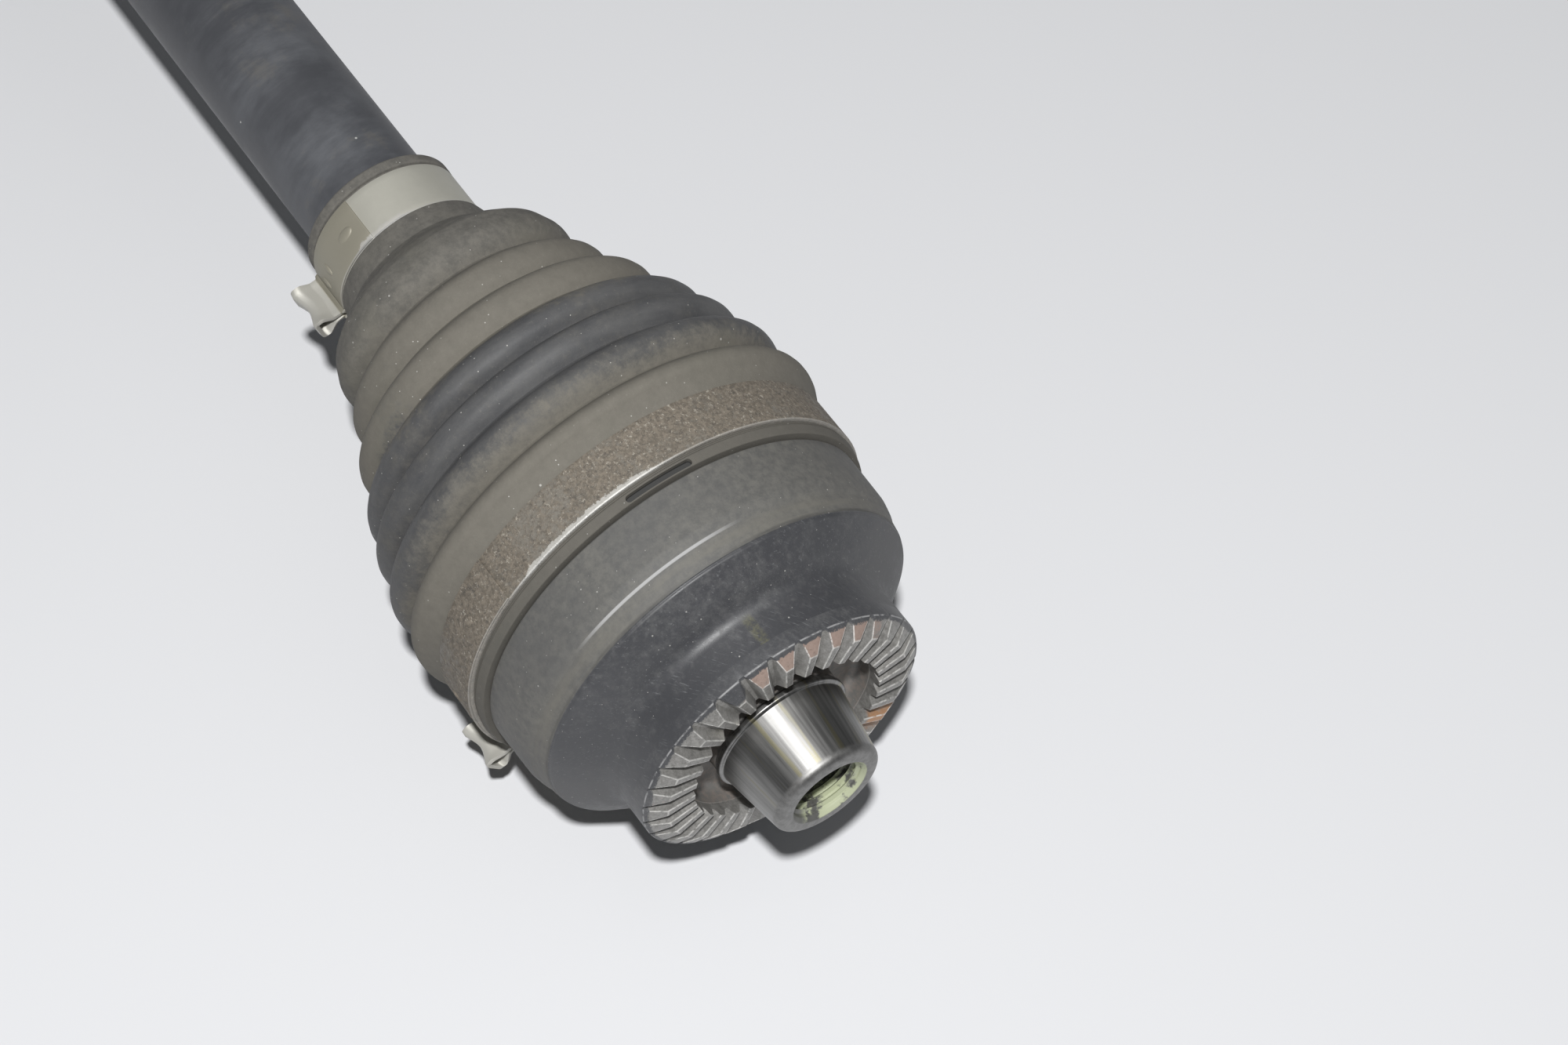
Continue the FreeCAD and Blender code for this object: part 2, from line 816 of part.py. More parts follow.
def boot_steps(folds, small_seat, large_seat, large_radius, toward, rib=()):
    """Section of a boot wall. toward is 1 where the large end points to +X, else -1."""
    wall = size.boot_wall
    bar = size.bar_radius + size.boot_play
    start = small_seat - toward * size.boot_small_seat_length
    lip = bar + wall + size.boot_lip_height
    lip_end = start + toward * size.boot_lip_width
    step = toward * size.edge
    large_start, large_end = large_seat
    bead_start = large_end - toward * size.boot_end_bead_width
    large_bore = large_radius + size.boot_play
    band_seat = large_bore + size.boot_large_wall
    bead = band_seat + size.boot_end_bead
    steps = [
        (start, lip),
        (lip_end, lip),
        (lip_end + toward * size.boot_ramp, bar + wall),
        (small_seat, bar + wall),
    ]
    steps += folds
    steps += [
        (large_start, band_seat),
        (bead_start, band_seat),
        (bead_start + toward * size.boot_ramp, bead),
        (large_end, bead),
        (large_end, large_bore),
    ]
    steps += rib
    steps.append((large_start, large_bore))
    steps += [(x, radius - wall) for x, radius in reversed(folds)]
    steps += [
        (small_seat, bar),
        (small_seat - step, bar - size.bar_seat_depth),
        (start + step, bar - size.bar_seat_depth),
        (start, bar),
    ]
    return steps


def seat_rib():
    """The rib inside the outer boot that sits in the groove of the bell."""
    bore = size.bell_seat_radius + size.boot_play
    low = bore - size.boot_groove_depth
    half = size.boot_groove_width / 2 - size.boot_play
    return [
        (outer_clamp_middle + half, bore),
        (outer_clamp_middle + half, low),
        (outer_clamp_middle - half, low),
        (outer_clamp_middle - half, bore),
    ]


def make_outer_boot():
    """The ribbed boot over the ball joint."""
    body = new_body("outer_boot")
    small_seat = -size.outer_boot_seat
    seat_radius = size.bar_radius + size.boot_play + size.boot_wall
    folds = [(small_seat + size.boot_neck_length, seat_radius + size.boot_neck_rise)]
    folds += boot_folds(
        small_seat + size.outer_boot_first_crest, boot_band_start - size.boot_last_crest,
        size.boot_crests, size.outer_boot_small_radius, size.outer_boot_large_radius,
        size.outer_boot_growth,
    )
    large = (boot_band_start, boot_band_end)
    steps = boot_steps(folds, small_seat, large, size.bell_seat_radius, 1, seat_rib())
    revolve(body, outline(body, "outer_boot_section", "XZ_Plane", steps))
    return body


def make_clamp(name, middle, width, radius, turn):
    """A band clamp with one pinched ear, turned about the axis from +Z."""
    body = new_body(name)
    radius = radius + 2 * size.boot_play
    band = size.clamp_band
    left = middle - width / 2
    right = middle + width / 2
    steps = [
        (left, radius),
        (right, radius),
        (right, radius + band),
        (left, radius + band),
    ]
    revolve(body, outline(body, f"{name}_band", "XZ_Plane", steps))
    foot = size.ear_foot / 2
    top = size.ear_top / 2
    base = radius + band / 2
    roof = radius + band + size.ear_height
    ear = [
        (-foot - band, base),
        (-foot, base),
        (-top, roof - band),
        (top, roof - band),
        (foot, base),
        (foot + band, base),
        (top + band, roof),
        (-top - band, roof),
    ]
    ear_width = width * size.ear_width_share
    sketch = outline(body, f"{name}_ear", "YZ_Plane", ear, shift=middle - ear_width / 2)
    pad(body, sketch, ear_width)
    body.Placement = Placement(Vector(), Rotation(Vector(1, 0, 0), turn.number))
    body.setExpression("Placement.Rotation.Angle", turn.text)
    return body


def make_spider():
    """The tripod's spider: a splined hub with three trunnions."""
    body = new_body("tripod_spider")
    half = size.spider_half_width
    bore = size.spline_root_radius + size.spline_play
    hub = size.spider_hub_radius
    edge = size.edge
    steps = [
        (inner_x - half, bore),
        (inner_x + half, bore),
        (inner_x + half, hub - edge),
        (inner_x + half - edge, hub),
        (inner_x + edge - half, hub),
        (inner_x - half, hub - edge),
    ]
    revolve(body, outline(body, "spider_hub", "XZ_Plane", steps))
    start = (size.spline_tip_radius + hub) / 2
    circle = round_hole(
        body, "trunnion_outline", "XY_Plane", (inner_x, 0), size.trunnion_radius, shift=start
    )
    trunnion = pad(body, circle, size.trunnion_tip - start)
    groove_low = size.trunnion_radius - size.snap_ring_depth
    groove_x = snap_ring_place()
    steps = [
        (groove_low, groove_x),
        (size.trunnion_radius + edge, groove_x),
        (size.trunnion_radius + edge, groove_x + size.snap_ring_width),
        (groove_low, groove_x + size.snap_ring_width),
    ]
    seat = outline(body, "snap_groove", "YZ_Plane", steps, shift=inner_x)
    cut = groove(body, seat, FULL_TURN, axis="V_Axis")
    around_axis(body, [trunnion, cut], TRUNNIONS)
    spline_spaces(
        body, "spider_spline", inner_x - half - edge, 2 * (half + edge),
        size.spline_tip_radius, size.spline_root_radius, size.spline_teeth, size.spline_play,
    )
    return body


def washer_place():
    """Distance from the axis at which a roller's washer starts."""
    return size.roller_pitch_radius + size.roller_half_width + size.ring_play * 2


def snap_ring_place():
    return washer_place() + size.washer_width + size.ring_play


def trunnion_turn(index):
    """The turn about the axis from the top trunnion to another."""
    return Placement(Vector(), Rotation(Vector(1, 0, 0), index * FULL_TURN / TRUNNIONS))


def trunnion_body(name, section, index):
    """A piece turned about a trunnion, made at the top and swung round to its trunnion."""
    body = new_body(name)
    sketch = outline(body, f"{name}_section", "YZ_Plane", section, shift=inner_x)
    revolve(body, sketch, axis="V_Axis")
    body.Placement = trunnion_turn(index)
    return body


def make_roller(name, index):
    """A roller with a ball-shaped rim."""
    middle = size.roller_pitch_radius
    half = size.roller_half_width
    rim = sphere_reach(size.roller_radius, half)
    section = [
        (roller_bore, middle - half),
        (rim, middle - half),
        Arc(rim, middle + half, size.roller_radius, 1),
        (roller_bore, middle + half),
    ]
    return trunnion_body(name, section, index)


def make_washers():
    """The washers that hold the needles and rollers on their trunnions."""
    low = size.trunnion_radius + size.needle_play
    high = size.trunnion_radius + size.washer_rim
    start = washer_place()
    section = [
        (low, start),
        (high, start),
        (high, start + size.washer_width),
        (low, start + size.washer_width),
    ]
    rings = [trunnion_body(f"washer_{index}", section, index) for index in range(TRUNNIONS)]
    return compound("roller_washers", rings)


def make_snap_rings():
    """The snap rings in the grooves near the trunnions' ends."""
    low = size.trunnion_radius - size.snap_ring_depth
    high = size.trunnion_radius + size.snap_ring_rim
    start = snap_ring_place()
    section = [
        (low, start),
        (high, start),
        (high, start + size.snap_ring_width),
        (low, start + size.snap_ring_width),
    ]
    rings = [trunnion_body(f"snap_ring_{index}", section, index) for index in range(TRUNNIONS)]
    return compound("roller_snap_rings", rings)


def make_needles():
    """The needles between each trunnion and its roller."""
    groups = []
    length = 2 * size.roller_half_width - size.washer_width
    place = size.trunnion_radius + size.needle_radius + size.needle_play
    for index in range(TRUNNIONS):
        needles = []
        for number in range(SIZES["needle_count"]):
            needle = doc.addObject("Part::Cylinder", f"needle_{index}_{number}")
            bind(needle, "Radius", size.needle_radius)
            bind(needle, "Height", length)
            angle = number * FULL_TURN / size.needle_count
            low = size.roller_pitch_radius - length / 2
            bind_place(needle, inner_x + place * sine(angle), place * cosine(angle), low)
            needles.append(needle)
        group = doc.addObject("Part::Compound", f"needles_{index}")
        group.Links = needles
        group.Placement = trunnion_turn(index)
        groups.append(group)
    return compound("needle_rollers", groups)


def make_housing():
    """The tripod's housing with its three tracks, and the splined stub towards the gearbox."""
    body = new_body("inner_joint_housing")
    outer = size.housing_radius
    edge = size.edge
    back = housing_back
    turn = size.housing_back_round
    journal = back - size.journal_start
    journal_end = journal - size.journal_length
    spline_start = journal_end - size.stub_relief_length
    relief = size.stub_spline_root - size.stub_relief_depth
    spline_end = spline_start - size.stub_spline_length
    pilot_end = spline_end - size.pilot_length
    tip = size.stub_spline_radius
    ring = spline_end + size.stub_ring_setback
    ring_low = tip - size.stub_ring_wire
    steps = [
        (housing_mouth, 0),
        (housing_mouth, outer - edge),
        (housing_mouth - edge, outer),
        (back + turn, outer),
        Arc(back, outer - turn, turn, 1),
        (back, size.stub_root_radius + size.stub_root_cone),
        (back - size.stub_root_cone, size.stub_root_radius),
        (journal + edge, size.stub_root_radius),
        (journal, size.journal_radius),
        (journal_end + edge, size.journal_radius),
        (journal_end, size.journal_radius - edge),
        (journal_end, relief),
        (spline_start, relief),
        (spline_start - edge, tip),
        (ring + size.stub_ring_wire, tip),
        (ring + size.stub_ring_wire, ring_low),
        (ring, ring_low),
        (ring, tip),
        (spline_end + edge, tip),
        (spline_end, tip - edge),
        (spline_end, size.pilot_radius),
        (pilot_end + edge, size.pilot_radius),
        (pilot_end, size.pilot_radius - edge),
        (pilot_end, 0),
    ]
    revolve(body, outline(body, "housing_section", "XZ_Plane", steps))
    cone = [
        (housing_mouth + edge, 0),
        (housing_mouth + edge, size.housing_mouth_radius),
        (housing_mouth, size.housing_mouth_radius),
        (housing_mouth - size.housing_mouth_cone, size.housing_land_radius),
        (housing_floor, size.housing_land_radius),
        (housing_floor, 0),
    ]
    groove(body, outline(body, "housing_hollow", "XZ_Plane", cone), FULL_TURN)
    depth = housing_mouth + edge - housing_floor
    track = round_hole(
        body, "roller_track", "YZ_Plane", (0, size.roller_pitch_radius),
        size.roller_radius + size.roller_track_play, shift=housing_floor,
    )
    around_axis(body, [pocket(body, track, depth, reverse=True)], TRUNNIONS)
    cut_scallops(body, housing_floor - 2 * edge, depth + 2 * edge, as_size(0))
    spline_grooves(
        body, "stub_spline", spline_end - edge, size.stub_spline_length + 2 * edge, tip,
        size.stub_spline_root, size.stub_spline_teeth,
    )
    return body


def cut_scallops(body, start, depth, play):
    """The hollows outside, between the three lobes, smaller by the play."""
    scallop = round_hole(
        body, f"{body.Name}_scallop", "YZ_Plane", (0, size.scallop_offset),
        size.scallop_radius - play, shift=start, turn=as_size(FULL_TURN / TRUNNIONS / 2),
    )
    around_axis(body, [pocket(body, scallop, depth, reverse=True)], TRUNNIONS)


def make_adaptor():
    """The insert that makes the lobed housing round for the boot."""
    start = housing_mouth - size.adaptor_length
    blank = new_body("adaptor_blank")
    outer = size.housing_radius + size.adaptor_wall
    edge = size.edge
    play = size.adaptor_play
    bore = size.housing_mouth_radius + edge
    steps = [
        (start, bore),
        (housing_mouth + size.adaptor_lip, bore),
        (housing_mouth + size.adaptor_lip, outer),
        (start, outer),
    ]
    revolve(blank, outline(blank, "adaptor_section", "XZ_Plane", steps))
    core = new_body("adaptor_core")
    steps = [
        (start - edge, 0),
        (housing_mouth + play, 0),
        (housing_mouth + play, size.housing_radius + play - edge),
        (housing_mouth + play - edge, size.housing_radius + play),
        (start - edge, size.housing_radius + play),
    ]
    revolve(core, outline(core, "adaptor_core_section", "XZ_Plane", steps))
    cut_scallops(core, start - 2 * edge, size.adaptor_length + 4 * edge, play)
    adaptor = doc.addObject("Part::Cut", "boot_adaptor")
    adaptor.Label = "boot_adaptor"
    adaptor.Base = blank
    adaptor.Tool = core
    doc.recompute()
    return adaptor


def make_inner_boot():
    """The ribbed boot over the tripod joint."""
    body = new_body("inner_boot")
    small_seat = inner_x + size.inner_boot_seat
    large = (housing_mouth + size.adaptor_lip, housing_mouth - size.adaptor_length)
    folds = boot_folds(
        small_seat - size.inner_boot_first_crest, large[0] + size.boot_last_crest,
        size.inner_boot_crests, size.inner_boot_small_radius, size.inner_boot_large_radius,
        size.inner_boot_growth,
    )
    seat_radius = size.housing_radius + size.adaptor_wall
    steps = boot_steps(folds, small_seat, large, seat_radius, -1)
    revolve(body, outline(body, "inner_boot_section", "XZ_Plane", steps))
    return body


def make_clamps():
    """The four boot clamps."""
    wall = size.boot_wall
    small = size.bar_radius + wall
    outer_small = -size.outer_boot_seat - size.small_clamp_width / 2 - size.clamp_gap
    inner_small = inner_x + size.inner_boot_seat + size.small_clamp_width / 2 + size.clamp_gap
    adaptor_end = housing_mouth - size.adaptor_length
    inner_large = adaptor_end + size.boot_end_bead_width + clamp_room / 2
    adaptor = size.housing_radius + size.adaptor_wall
    return [
        make_clamp(
            "outer_boot_large_clamp", outer_clamp_middle, size.large_clamp_width,
            size.bell_seat_radius + size.boot_large_wall, size.outer_large_ear_turn,
        ),
        make_clamp(
            "outer_boot_small_clamp", outer_small, size.small_clamp_width, small,
            size.outer_small_ear_turn,
        ),
        make_clamp(
            "inner_boot_large_clamp", inner_large, size.large_clamp_width,
            adaptor + size.boot_large_wall, size.inner_large_ear_turn,
        ),
        make_clamp(
            "inner_boot_small_clamp", inner_small, size.small_clamp_width, small,
            size.inner_small_ear_turn,
        ),
    ]


def make_rings():
    """The wire rings on the bar and on the stub."""
    wire = size.ring_wire
    low = size.spline_tip_radius - wire / 2
    star = size.star_half_width + size.ring_play
    spider = size.spider_half_width + size.ring_play
    journal_end = housing_back - size.journal_start - size.journal_length
    spline_end = journal_end - size.stub_relief_length - size.stub_spline_length
    return [
        make_ring("inner_race_circlip", outer_x + star, low, wire),
        make_ring("inner_race_stop_ring", outer_x - star - wire, low, wire),
        make_ring("spider_circlip", inner_x - spider - wire, low, wire),
        make_ring("spider_stop_ring", inner_x + spider, low, wire),
        make_ring(
            "stub_circlip", spline_end + size.stub_ring_setback,
            size.stub_spline_radius - size.stub_ring_wire, size.stub_ring_wire,
        ),
    ]


def build():
    pieces = [make_bar(), make_outer_race(), make_star(), make_cage(), make_balls()]
    pieces += [make_spider(), make_housing(), make_adaptor(), make_needles()]
    pieces += [make_washers(), make_snap_rings()]
    for index, name in enumerate(("top_roller", "front_roller", "back_roller")):
        pieces.append(make_roller(name, index))
    pieces += [make_outer_boot(), make_inner_boot()]
    pieces += make_clamps()
    pieces += make_rings()
    return pieces


def check(pieces):
    """Stop where an object failed or a shape is missing or broken."""
    doc.recompute()
    for item in doc.Objects:
        if "Invalid" in item.State or "Error" in item.State:
            raise RuntimeError(f"{item.Name} failed: {item.State}")
    for piece in pieces:
        shape = piece.Shape
        if shape.isNull() or not shape.isValid() or not shape.Solids:
            raise RuntimeError(f"{piece.Label} has no valid solid")


def export(pieces):
    os.makedirs(PARTS_FOLDER, exist_ok=True)
    for piece in pieces:
        piece.Shape.exportStep(os.path.join(PARTS_FOLDER, f"{piece.Label}.step"))
        count = len(piece.Shape.Solids)
        print(f"{piece.Label}: {count} solids, {piece.Shape.Volume / 1000:.2f} cm3")


parts = build()
check(parts)
export(parts)
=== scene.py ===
"""The looks of a rear drive shaft: the wheel-end joint with its face teeth, spigot, boot and
clamps as in the photo, and the bar and gearbox-end joint that it does not show.
Sizes are in millimetres until the last step of a piece. +X points to the wheel, +Z up."""

import math

import bpy
from mathutils import Matrix, Vector


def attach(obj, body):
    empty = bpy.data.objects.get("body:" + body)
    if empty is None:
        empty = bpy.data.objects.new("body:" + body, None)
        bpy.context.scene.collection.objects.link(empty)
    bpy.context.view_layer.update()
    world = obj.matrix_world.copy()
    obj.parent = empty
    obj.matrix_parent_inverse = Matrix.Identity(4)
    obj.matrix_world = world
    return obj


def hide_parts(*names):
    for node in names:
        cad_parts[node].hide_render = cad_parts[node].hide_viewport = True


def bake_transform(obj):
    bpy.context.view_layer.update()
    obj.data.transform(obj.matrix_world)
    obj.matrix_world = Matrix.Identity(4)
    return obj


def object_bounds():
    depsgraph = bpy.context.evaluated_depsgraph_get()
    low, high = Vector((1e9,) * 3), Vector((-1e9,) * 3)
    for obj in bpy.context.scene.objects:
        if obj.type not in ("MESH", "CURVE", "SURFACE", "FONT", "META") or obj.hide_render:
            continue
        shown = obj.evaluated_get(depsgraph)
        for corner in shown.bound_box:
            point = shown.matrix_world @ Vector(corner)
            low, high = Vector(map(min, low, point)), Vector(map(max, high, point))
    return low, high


MM = 0.001
WELD = 2e-6
FULL = 2 * math.pi
AXIS = (1, 0, 0)
CENTRE = (0, 0, 0)

# Sizes that several pieces share.
TEETH = 32
TEETH_TURN = 7.25  # degrees from +Z to the middle of a tooth space
TEETH_RADIUS = 32.6
TEETH_CREST = 2.0
TOOTH_DEPTH = 2.6
LAND_RADIUS = 28.2  # where the flat crests end and the outer facets start
BAR_RADIUS = 14.6
SMALL_SEAT_RADIUS = 16.9
WHEEL_SEAT_RADIUS = 45.85
GEARBOX_SEAT_RADIUS = 47.75
BAND = 0.8
BOOT_WALL = 2.2
BELL_EDGE = -18.65  # where the dusty bell ends and the black shoulder starts
SPIGOT_END = 16

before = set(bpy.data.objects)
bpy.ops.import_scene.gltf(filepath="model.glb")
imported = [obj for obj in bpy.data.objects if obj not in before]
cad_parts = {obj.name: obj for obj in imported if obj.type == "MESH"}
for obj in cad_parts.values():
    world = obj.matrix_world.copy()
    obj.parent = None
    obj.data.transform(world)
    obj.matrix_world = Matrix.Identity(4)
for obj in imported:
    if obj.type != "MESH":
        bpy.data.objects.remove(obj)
cad_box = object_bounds()


# Modelling


def leave_edit():
    if bpy.context.mode != "OBJECT":
        bpy.ops.object.mode_set(mode="OBJECT")


def only(piece):
    """Select one piece and make it active."""
    leave_edit()
    bpy.ops.object.select_all(action="DESELECT")
    piece.select_set(True)
    bpy.context.view_layer.objects.active = piece


def clear_selection():
    leave_edit()
    bpy.ops.object.select_all(action="DESELECT")


def settle(name):
    """Name the active piece and put its place into its mesh."""
    leave_edit()
    piece = bpy.context.object
    piece.name = name
    piece.data.name = name
    bpy.ops.object.transform_apply(location=True, rotation=True, scale=True)
    return piece


def edit_all(piece):
    only(piece)
    bpy.ops.object.mode_set(mode="EDIT")
    bpy.ops.mesh.select_all(action="SELECT")


def choose(piece, wanted, kind="VERT"):
    """In edit mode, select the corners or faces whose middle, in millimetres, is wanted."""
    bpy.ops.object.mode_set(mode="EDIT")
    bpy.ops.mesh.select_mode(type=kind)
    bpy.ops.mesh.select_all(action="DESELECT")
    bpy.ops.object.mode_set(mode="OBJECT")
    mesh = piece.data
    for part in mesh.vertices if kind == "VERT" else mesh.polygons:
        place = part.co if kind == "VERT" else part.center
        part.select = bool(wanted(place / MM))
    bpy.ops.object.mode_set(mode="EDIT")


def weld_and_face_out():
    bpy.ops.mesh.select_mode(type="VERT")
    bpy.ops.mesh.select_all(action="SELECT")
    bpy.ops.mesh.remove_doubles(threshold=WELD)
    bpy.ops.mesh.normals_make_consistent(inside=False)


def smooth(piece, angle=38):
    only(piece)
    bpy.ops.object.shade_smooth_by_angle(angle=math.radians(angle))
    return piece


def modify(piece, kind, **settings):
    """Add a modifier, set it and apply it."""
    only(piece)
    modifier = piece.modifiers.new(kind.lower(), kind)
    for key, value in settings.items():
        setattr(modifier, key, value)
    bpy.ops.object.modifier_apply(modifier=modifier.name)
    return piece


def soften(piece, width, angle=30, segments=2):
    """Round the edges that are sharper than an angle."""
    return modify(
        piece, "BEVEL", width=width * MM, segments=segments, limit_method="ANGLE",
        angle_limit=math.radians(angle), use_clamp_overlap=True,
    )


def rounded(corners, ring):
    """The line through corners (x, y) or (x, y, radius of the rounding)."""
    line = []
    count = len(corners)
    for index, corner in enumerate(corners):
        here = Vector(corner[:2])
        inside = ring or 0 < index < count - 1
        if len(corner) < 3 or not inside:
            line.append(here)
            continue
        back = Vector(corners[index - 1][:2]) - here
        ahead = Vector(corners[(index + 1) % count][:2]) - here
        opening = back.angle(ahead)
        reach = corner[2] / math.tan(opening / 2)
        reach = min(reach, 0.48 * back.length, 0.48 * ahead.length)
        radius = reach * math.tan(opening / 2)
        middle = here + (back.normalized() + ahead.normalized()).normalized() * (
            radius / math.sin(opening / 2)
        )
        first = here + back.normalized() * reach - middle
        last = here + ahead.normalized() * reach - middle
        turn = first.angle_signed(last)
        steps = max(2, math.ceil(abs(turn) / 0.22))
        for step in range(steps + 1):
            spoke = first.copy()
            spoke.rotate(Matrix.Rotation(-turn * step / steps, 2))
            line.append(middle + spoke)
    return line


def draw_line(name, points):
    """One corner, drawn out by extrusions through points (x, y, z)."""
    clear_selection()
    points = [Vector(point) * MM for point in points]
    bpy.ops.mesh.primitive_plane_add(size=MM, location=points[0])
    piece = settle(name)
    edit_all(piece)
    bpy.ops.mesh.merge(type="CENTER")
    for here, there in zip(points, points[1:]):
        bpy.ops.mesh.extrude_region_move(
            TRANSFORM_OT_translate={"value": tuple(there - here)}
        )
    return piece


def turned(name, corners, steps=144, ring=False, angle=38):
    """A half section drawn above the axis and spun round it. A ring's section is closed."""
    line = rounded(corners, ring)
    if ring:
        line.append(line[0])
    piece = draw_line(name, [(point.x, 0, point.y) for point in line])
    bpy.ops.mesh.select_all(action="SELECT")
    bpy.ops.mesh.remove_doubles(threshold=WELD)
    bpy.ops.mesh.spin(steps=steps, angle=FULL, center=CENTRE, axis=AXIS)
    weld_and_face_out()
    leave_edit()
    return smooth(piece, angle)


def turn_copy(piece, degrees):
    """A copy with its own mesh, turned about the shaft's axis."""
    only(piece)
    bpy.ops.object.duplicate()
    copy = bpy.context.object
    bpy.ops.object.mode_set(mode="EDIT")
    bpy.ops.mesh.select_all(action="SELECT")
    bpy.ops.transform.rotate(
        value=math.radians(degrees), orient_axis="X", center_override=CENTRE
    )
    leave_edit()
    return copy


def turn_in_place(piece, degrees):
    edit_all(piece)
    bpy.ops.transform.rotate(
        value=math.radians(degrees), orient_axis="X", center_override=CENTRE
    )
    leave_edit()


def join(pieces):
    """Join pieces into the first."""
    clear_selection()
    for piece in pieces:
        piece.select_set(True)
    bpy.context.view_layer.objects.active = pieces[0]
    bpy.ops.object.join()
    return pieces[0]


def clock(place):
    """Angle of a place about the axis in degrees, from +Z towards -Y."""
    return math.degrees(math.atan2(-place.y, place.z)) % 360


def reach(place):
    return math.hypot(place.y, place.z)


# Wheel-end joint


def make_bell():
    """Bell, neck, pocket, spigot and thread bore, spun from one section."""
    section = [
        (-11.2, 0),
        (-7, 8.0),
        (SPIGOT_END - 0.9, 8.0, 0.3),
        (SPIGOT_END, 8.7, 0.3),
        (SPIGOT_END, 12.0, 2.0),
        (0.3, 14.3, 0.3),
        (0.2, 15.1, 0.5),
        (-1.0, 15.1, 0.4),
        (-1.3, 14.7, 0.3),
        (-5.5, 14.7, 0.6),
        (-5.5, 21.7, 3.6),
        (-1.2, 21.7, 0.3),
        (-1.2, 22.6),
        (-3.4, 22.6),
        (-3.4, TEETH_RADIUS - 0.3),
        (-3.6, TEETH_RADIUS),
        (-11.4, 32.65, 4.5),
        (-13.6, 36.6, 6.0),
        (-17.9, 42.15, 0.9),
        (-18.5, 42.2, 0.2),
        (-18.7, 42.45, 0.2),
        (-22.6, 43.1, 0.3),
        (-23.3, 43.6, 0.5),
        (-25.5, 44.1, 2.0),
        (-36.4, 44.35, 0.4),
        (-36.8, 43.8),
        (-36.8, 42.8),
        (-42.7, 42.8),
        (-42.7, 41.95),
        (-47.7, 41.95),
        (-47.7, 42.8),
        (-53.1, 42.8),
        (-54.1, 41.8),
        (-54.1, 36.4),
        (-50, 29.6),
        (-44, 30.9),
        (-40, 31.2),
        (-34, 30.6),
        (-28, 28.9),
        (-22, 25.5),
        (-15, 18.7),
        (-15, 0),
    ]
    return turned("wheel_joint_bell", section, steps=192, angle=32)


def make_space(inner, outer):
    """A wedge that cuts one space between two face teeth, at the top. Its width and depth
    grow with the radius."""
    clear_selection()
    middle = (inner + outer) / 2
    bpy.ops.mesh.primitive_cube_add(size=MM, location=(0, 0, middle * MM))
    wedge = settle("tooth_space")
    edit_all(wedge)
    bpy.ops.transform.resize(value=(1, 1, outer - inner), center_override=(0, 0, middle * MM))
    leave_edit()
    over, floor_share, crest_share = 0.8, 0.15, 0.7
    for radius in (inner, outer):
        share = radius / TEETH_RADIUS
        pitch = radius * FULL / TEETH
        floor = (-0.5, TEETH_CREST - TOOTH_DEPTH * share, pitch * floor_share)
        slope = (crest_share - floor_share) / TOOTH_DEPTH
        top = (0.5, TEETH_CREST + over * share, pitch * (crest_share + slope * over))
        for start, level, width in (floor, top):

            def at_edge(place):
                return abs(place.z - radius) < 0.01 and abs(place.x - start) < 0.01

            choose(wedge, at_edge)
            centre = (0, 0, radius * MM)
            bpy.ops.transform.resize(value=(1, width, 1), center_override=centre)
            bpy.ops.transform.translate(value=((level - start) * MM, 0, 0))
            leave_edit()
    return wedge


def make_face_teeth():
    """The toothed face: a rounded ring with a wedge cut out between each two teeth."""
    section = [
        (TEETH_CREST, 21.8, 0.25),
        (TEETH_CREST, LAND_RADIUS, 0.3),
        (0, TEETH_RADIUS - 0.3, 0.3),
        (-0.5, TEETH_RADIUS, 0.2),
        (-3.6, TEETH_RADIUS),
        (-3.6, 21.8),
    ]
    teeth = turned("hub_face_teeth", section, steps=192, ring=True, angle=30)
    wedge = make_space(19.0, 35.0)
    wedges = [wedge] + [turn_copy(wedge, 360 / TEETH * n) for n in range(1, TEETH)]
    cutter = join(wedges)
    modify(teeth, "BOOLEAN", object=cutter, operation="DIFFERENCE", solver="EXACT")
    bpy.data.objects.remove(cutter)
    soften(teeth, 0.13, angle=24)
    turn_in_place(teeth, -TEETH_TURN)
    return smooth(teeth, 40)


def make_thread():
    """The ridge of the screw thread in the bore."""
    pitch, turns = 1.5, 13
    start = -5.6
    piece = draw_line(
        "hub_bolt_thread",
        [(start, 0, 8.25), (start + 0.7, 0, 7.3), (start + 1.4, 0, 8.25), (start, 0, 8.25)],
    )
    weld_and_face_out()
    leave_edit()
    modify(
        piece, "SCREW", axis="X", angle=FULL * turns, screw_offset=pitch * turns * MM,
        steps=40 * turns, render_steps=40 * turns, iterations=1, use_merge_vertices=True,
    )
    edit_all(piece)
    bpy.ops.mesh.remove_doubles(threshold=WELD)
    bpy.ops.mesh.select_all(action="DESELECT")
    bpy.ops.mesh.select_non_manifold()
    bpy.ops.mesh.edge_face_add()
    weld_and_face_out()
    leave_edit()
    return smooth(piece, 40)


# Boots


def bellows(crests, depth, wall, ends, detail=12):
    """Points of a boot's wall over its crests (x, radius), lower by wall. A place is a crest's
    number and the share of the way to the next."""
    points = []
    start, stop = ends
    last = len(crests) - 1
    total = round((stop - start) * detail)
    for number in range(total + 1):
        place = start + (stop - start) * number / total
        before = min(max(math.floor(place), 0), last - 1)
        share = place - before
        near, far = crests[before], crests[before + 1]
        inside = min(max(share, 0), 1)
        eased = inside * inside * (3 - 2 * inside)
        phase = abs(2 * (place - round(place)))
        drop = depth * phase ** 2.3
        if phase > 0.8:
            drop = depth * (0.8 ** 2.3 + 0.4 * (1 - 0.8 ** 2.3) + (phase - 0.8) * 0.6)
        height = near[1] + (far[1] - near[1]) * eased - drop - wall
        points.append((near[0] + (far[0] - near[0]) * share, height))
    return points


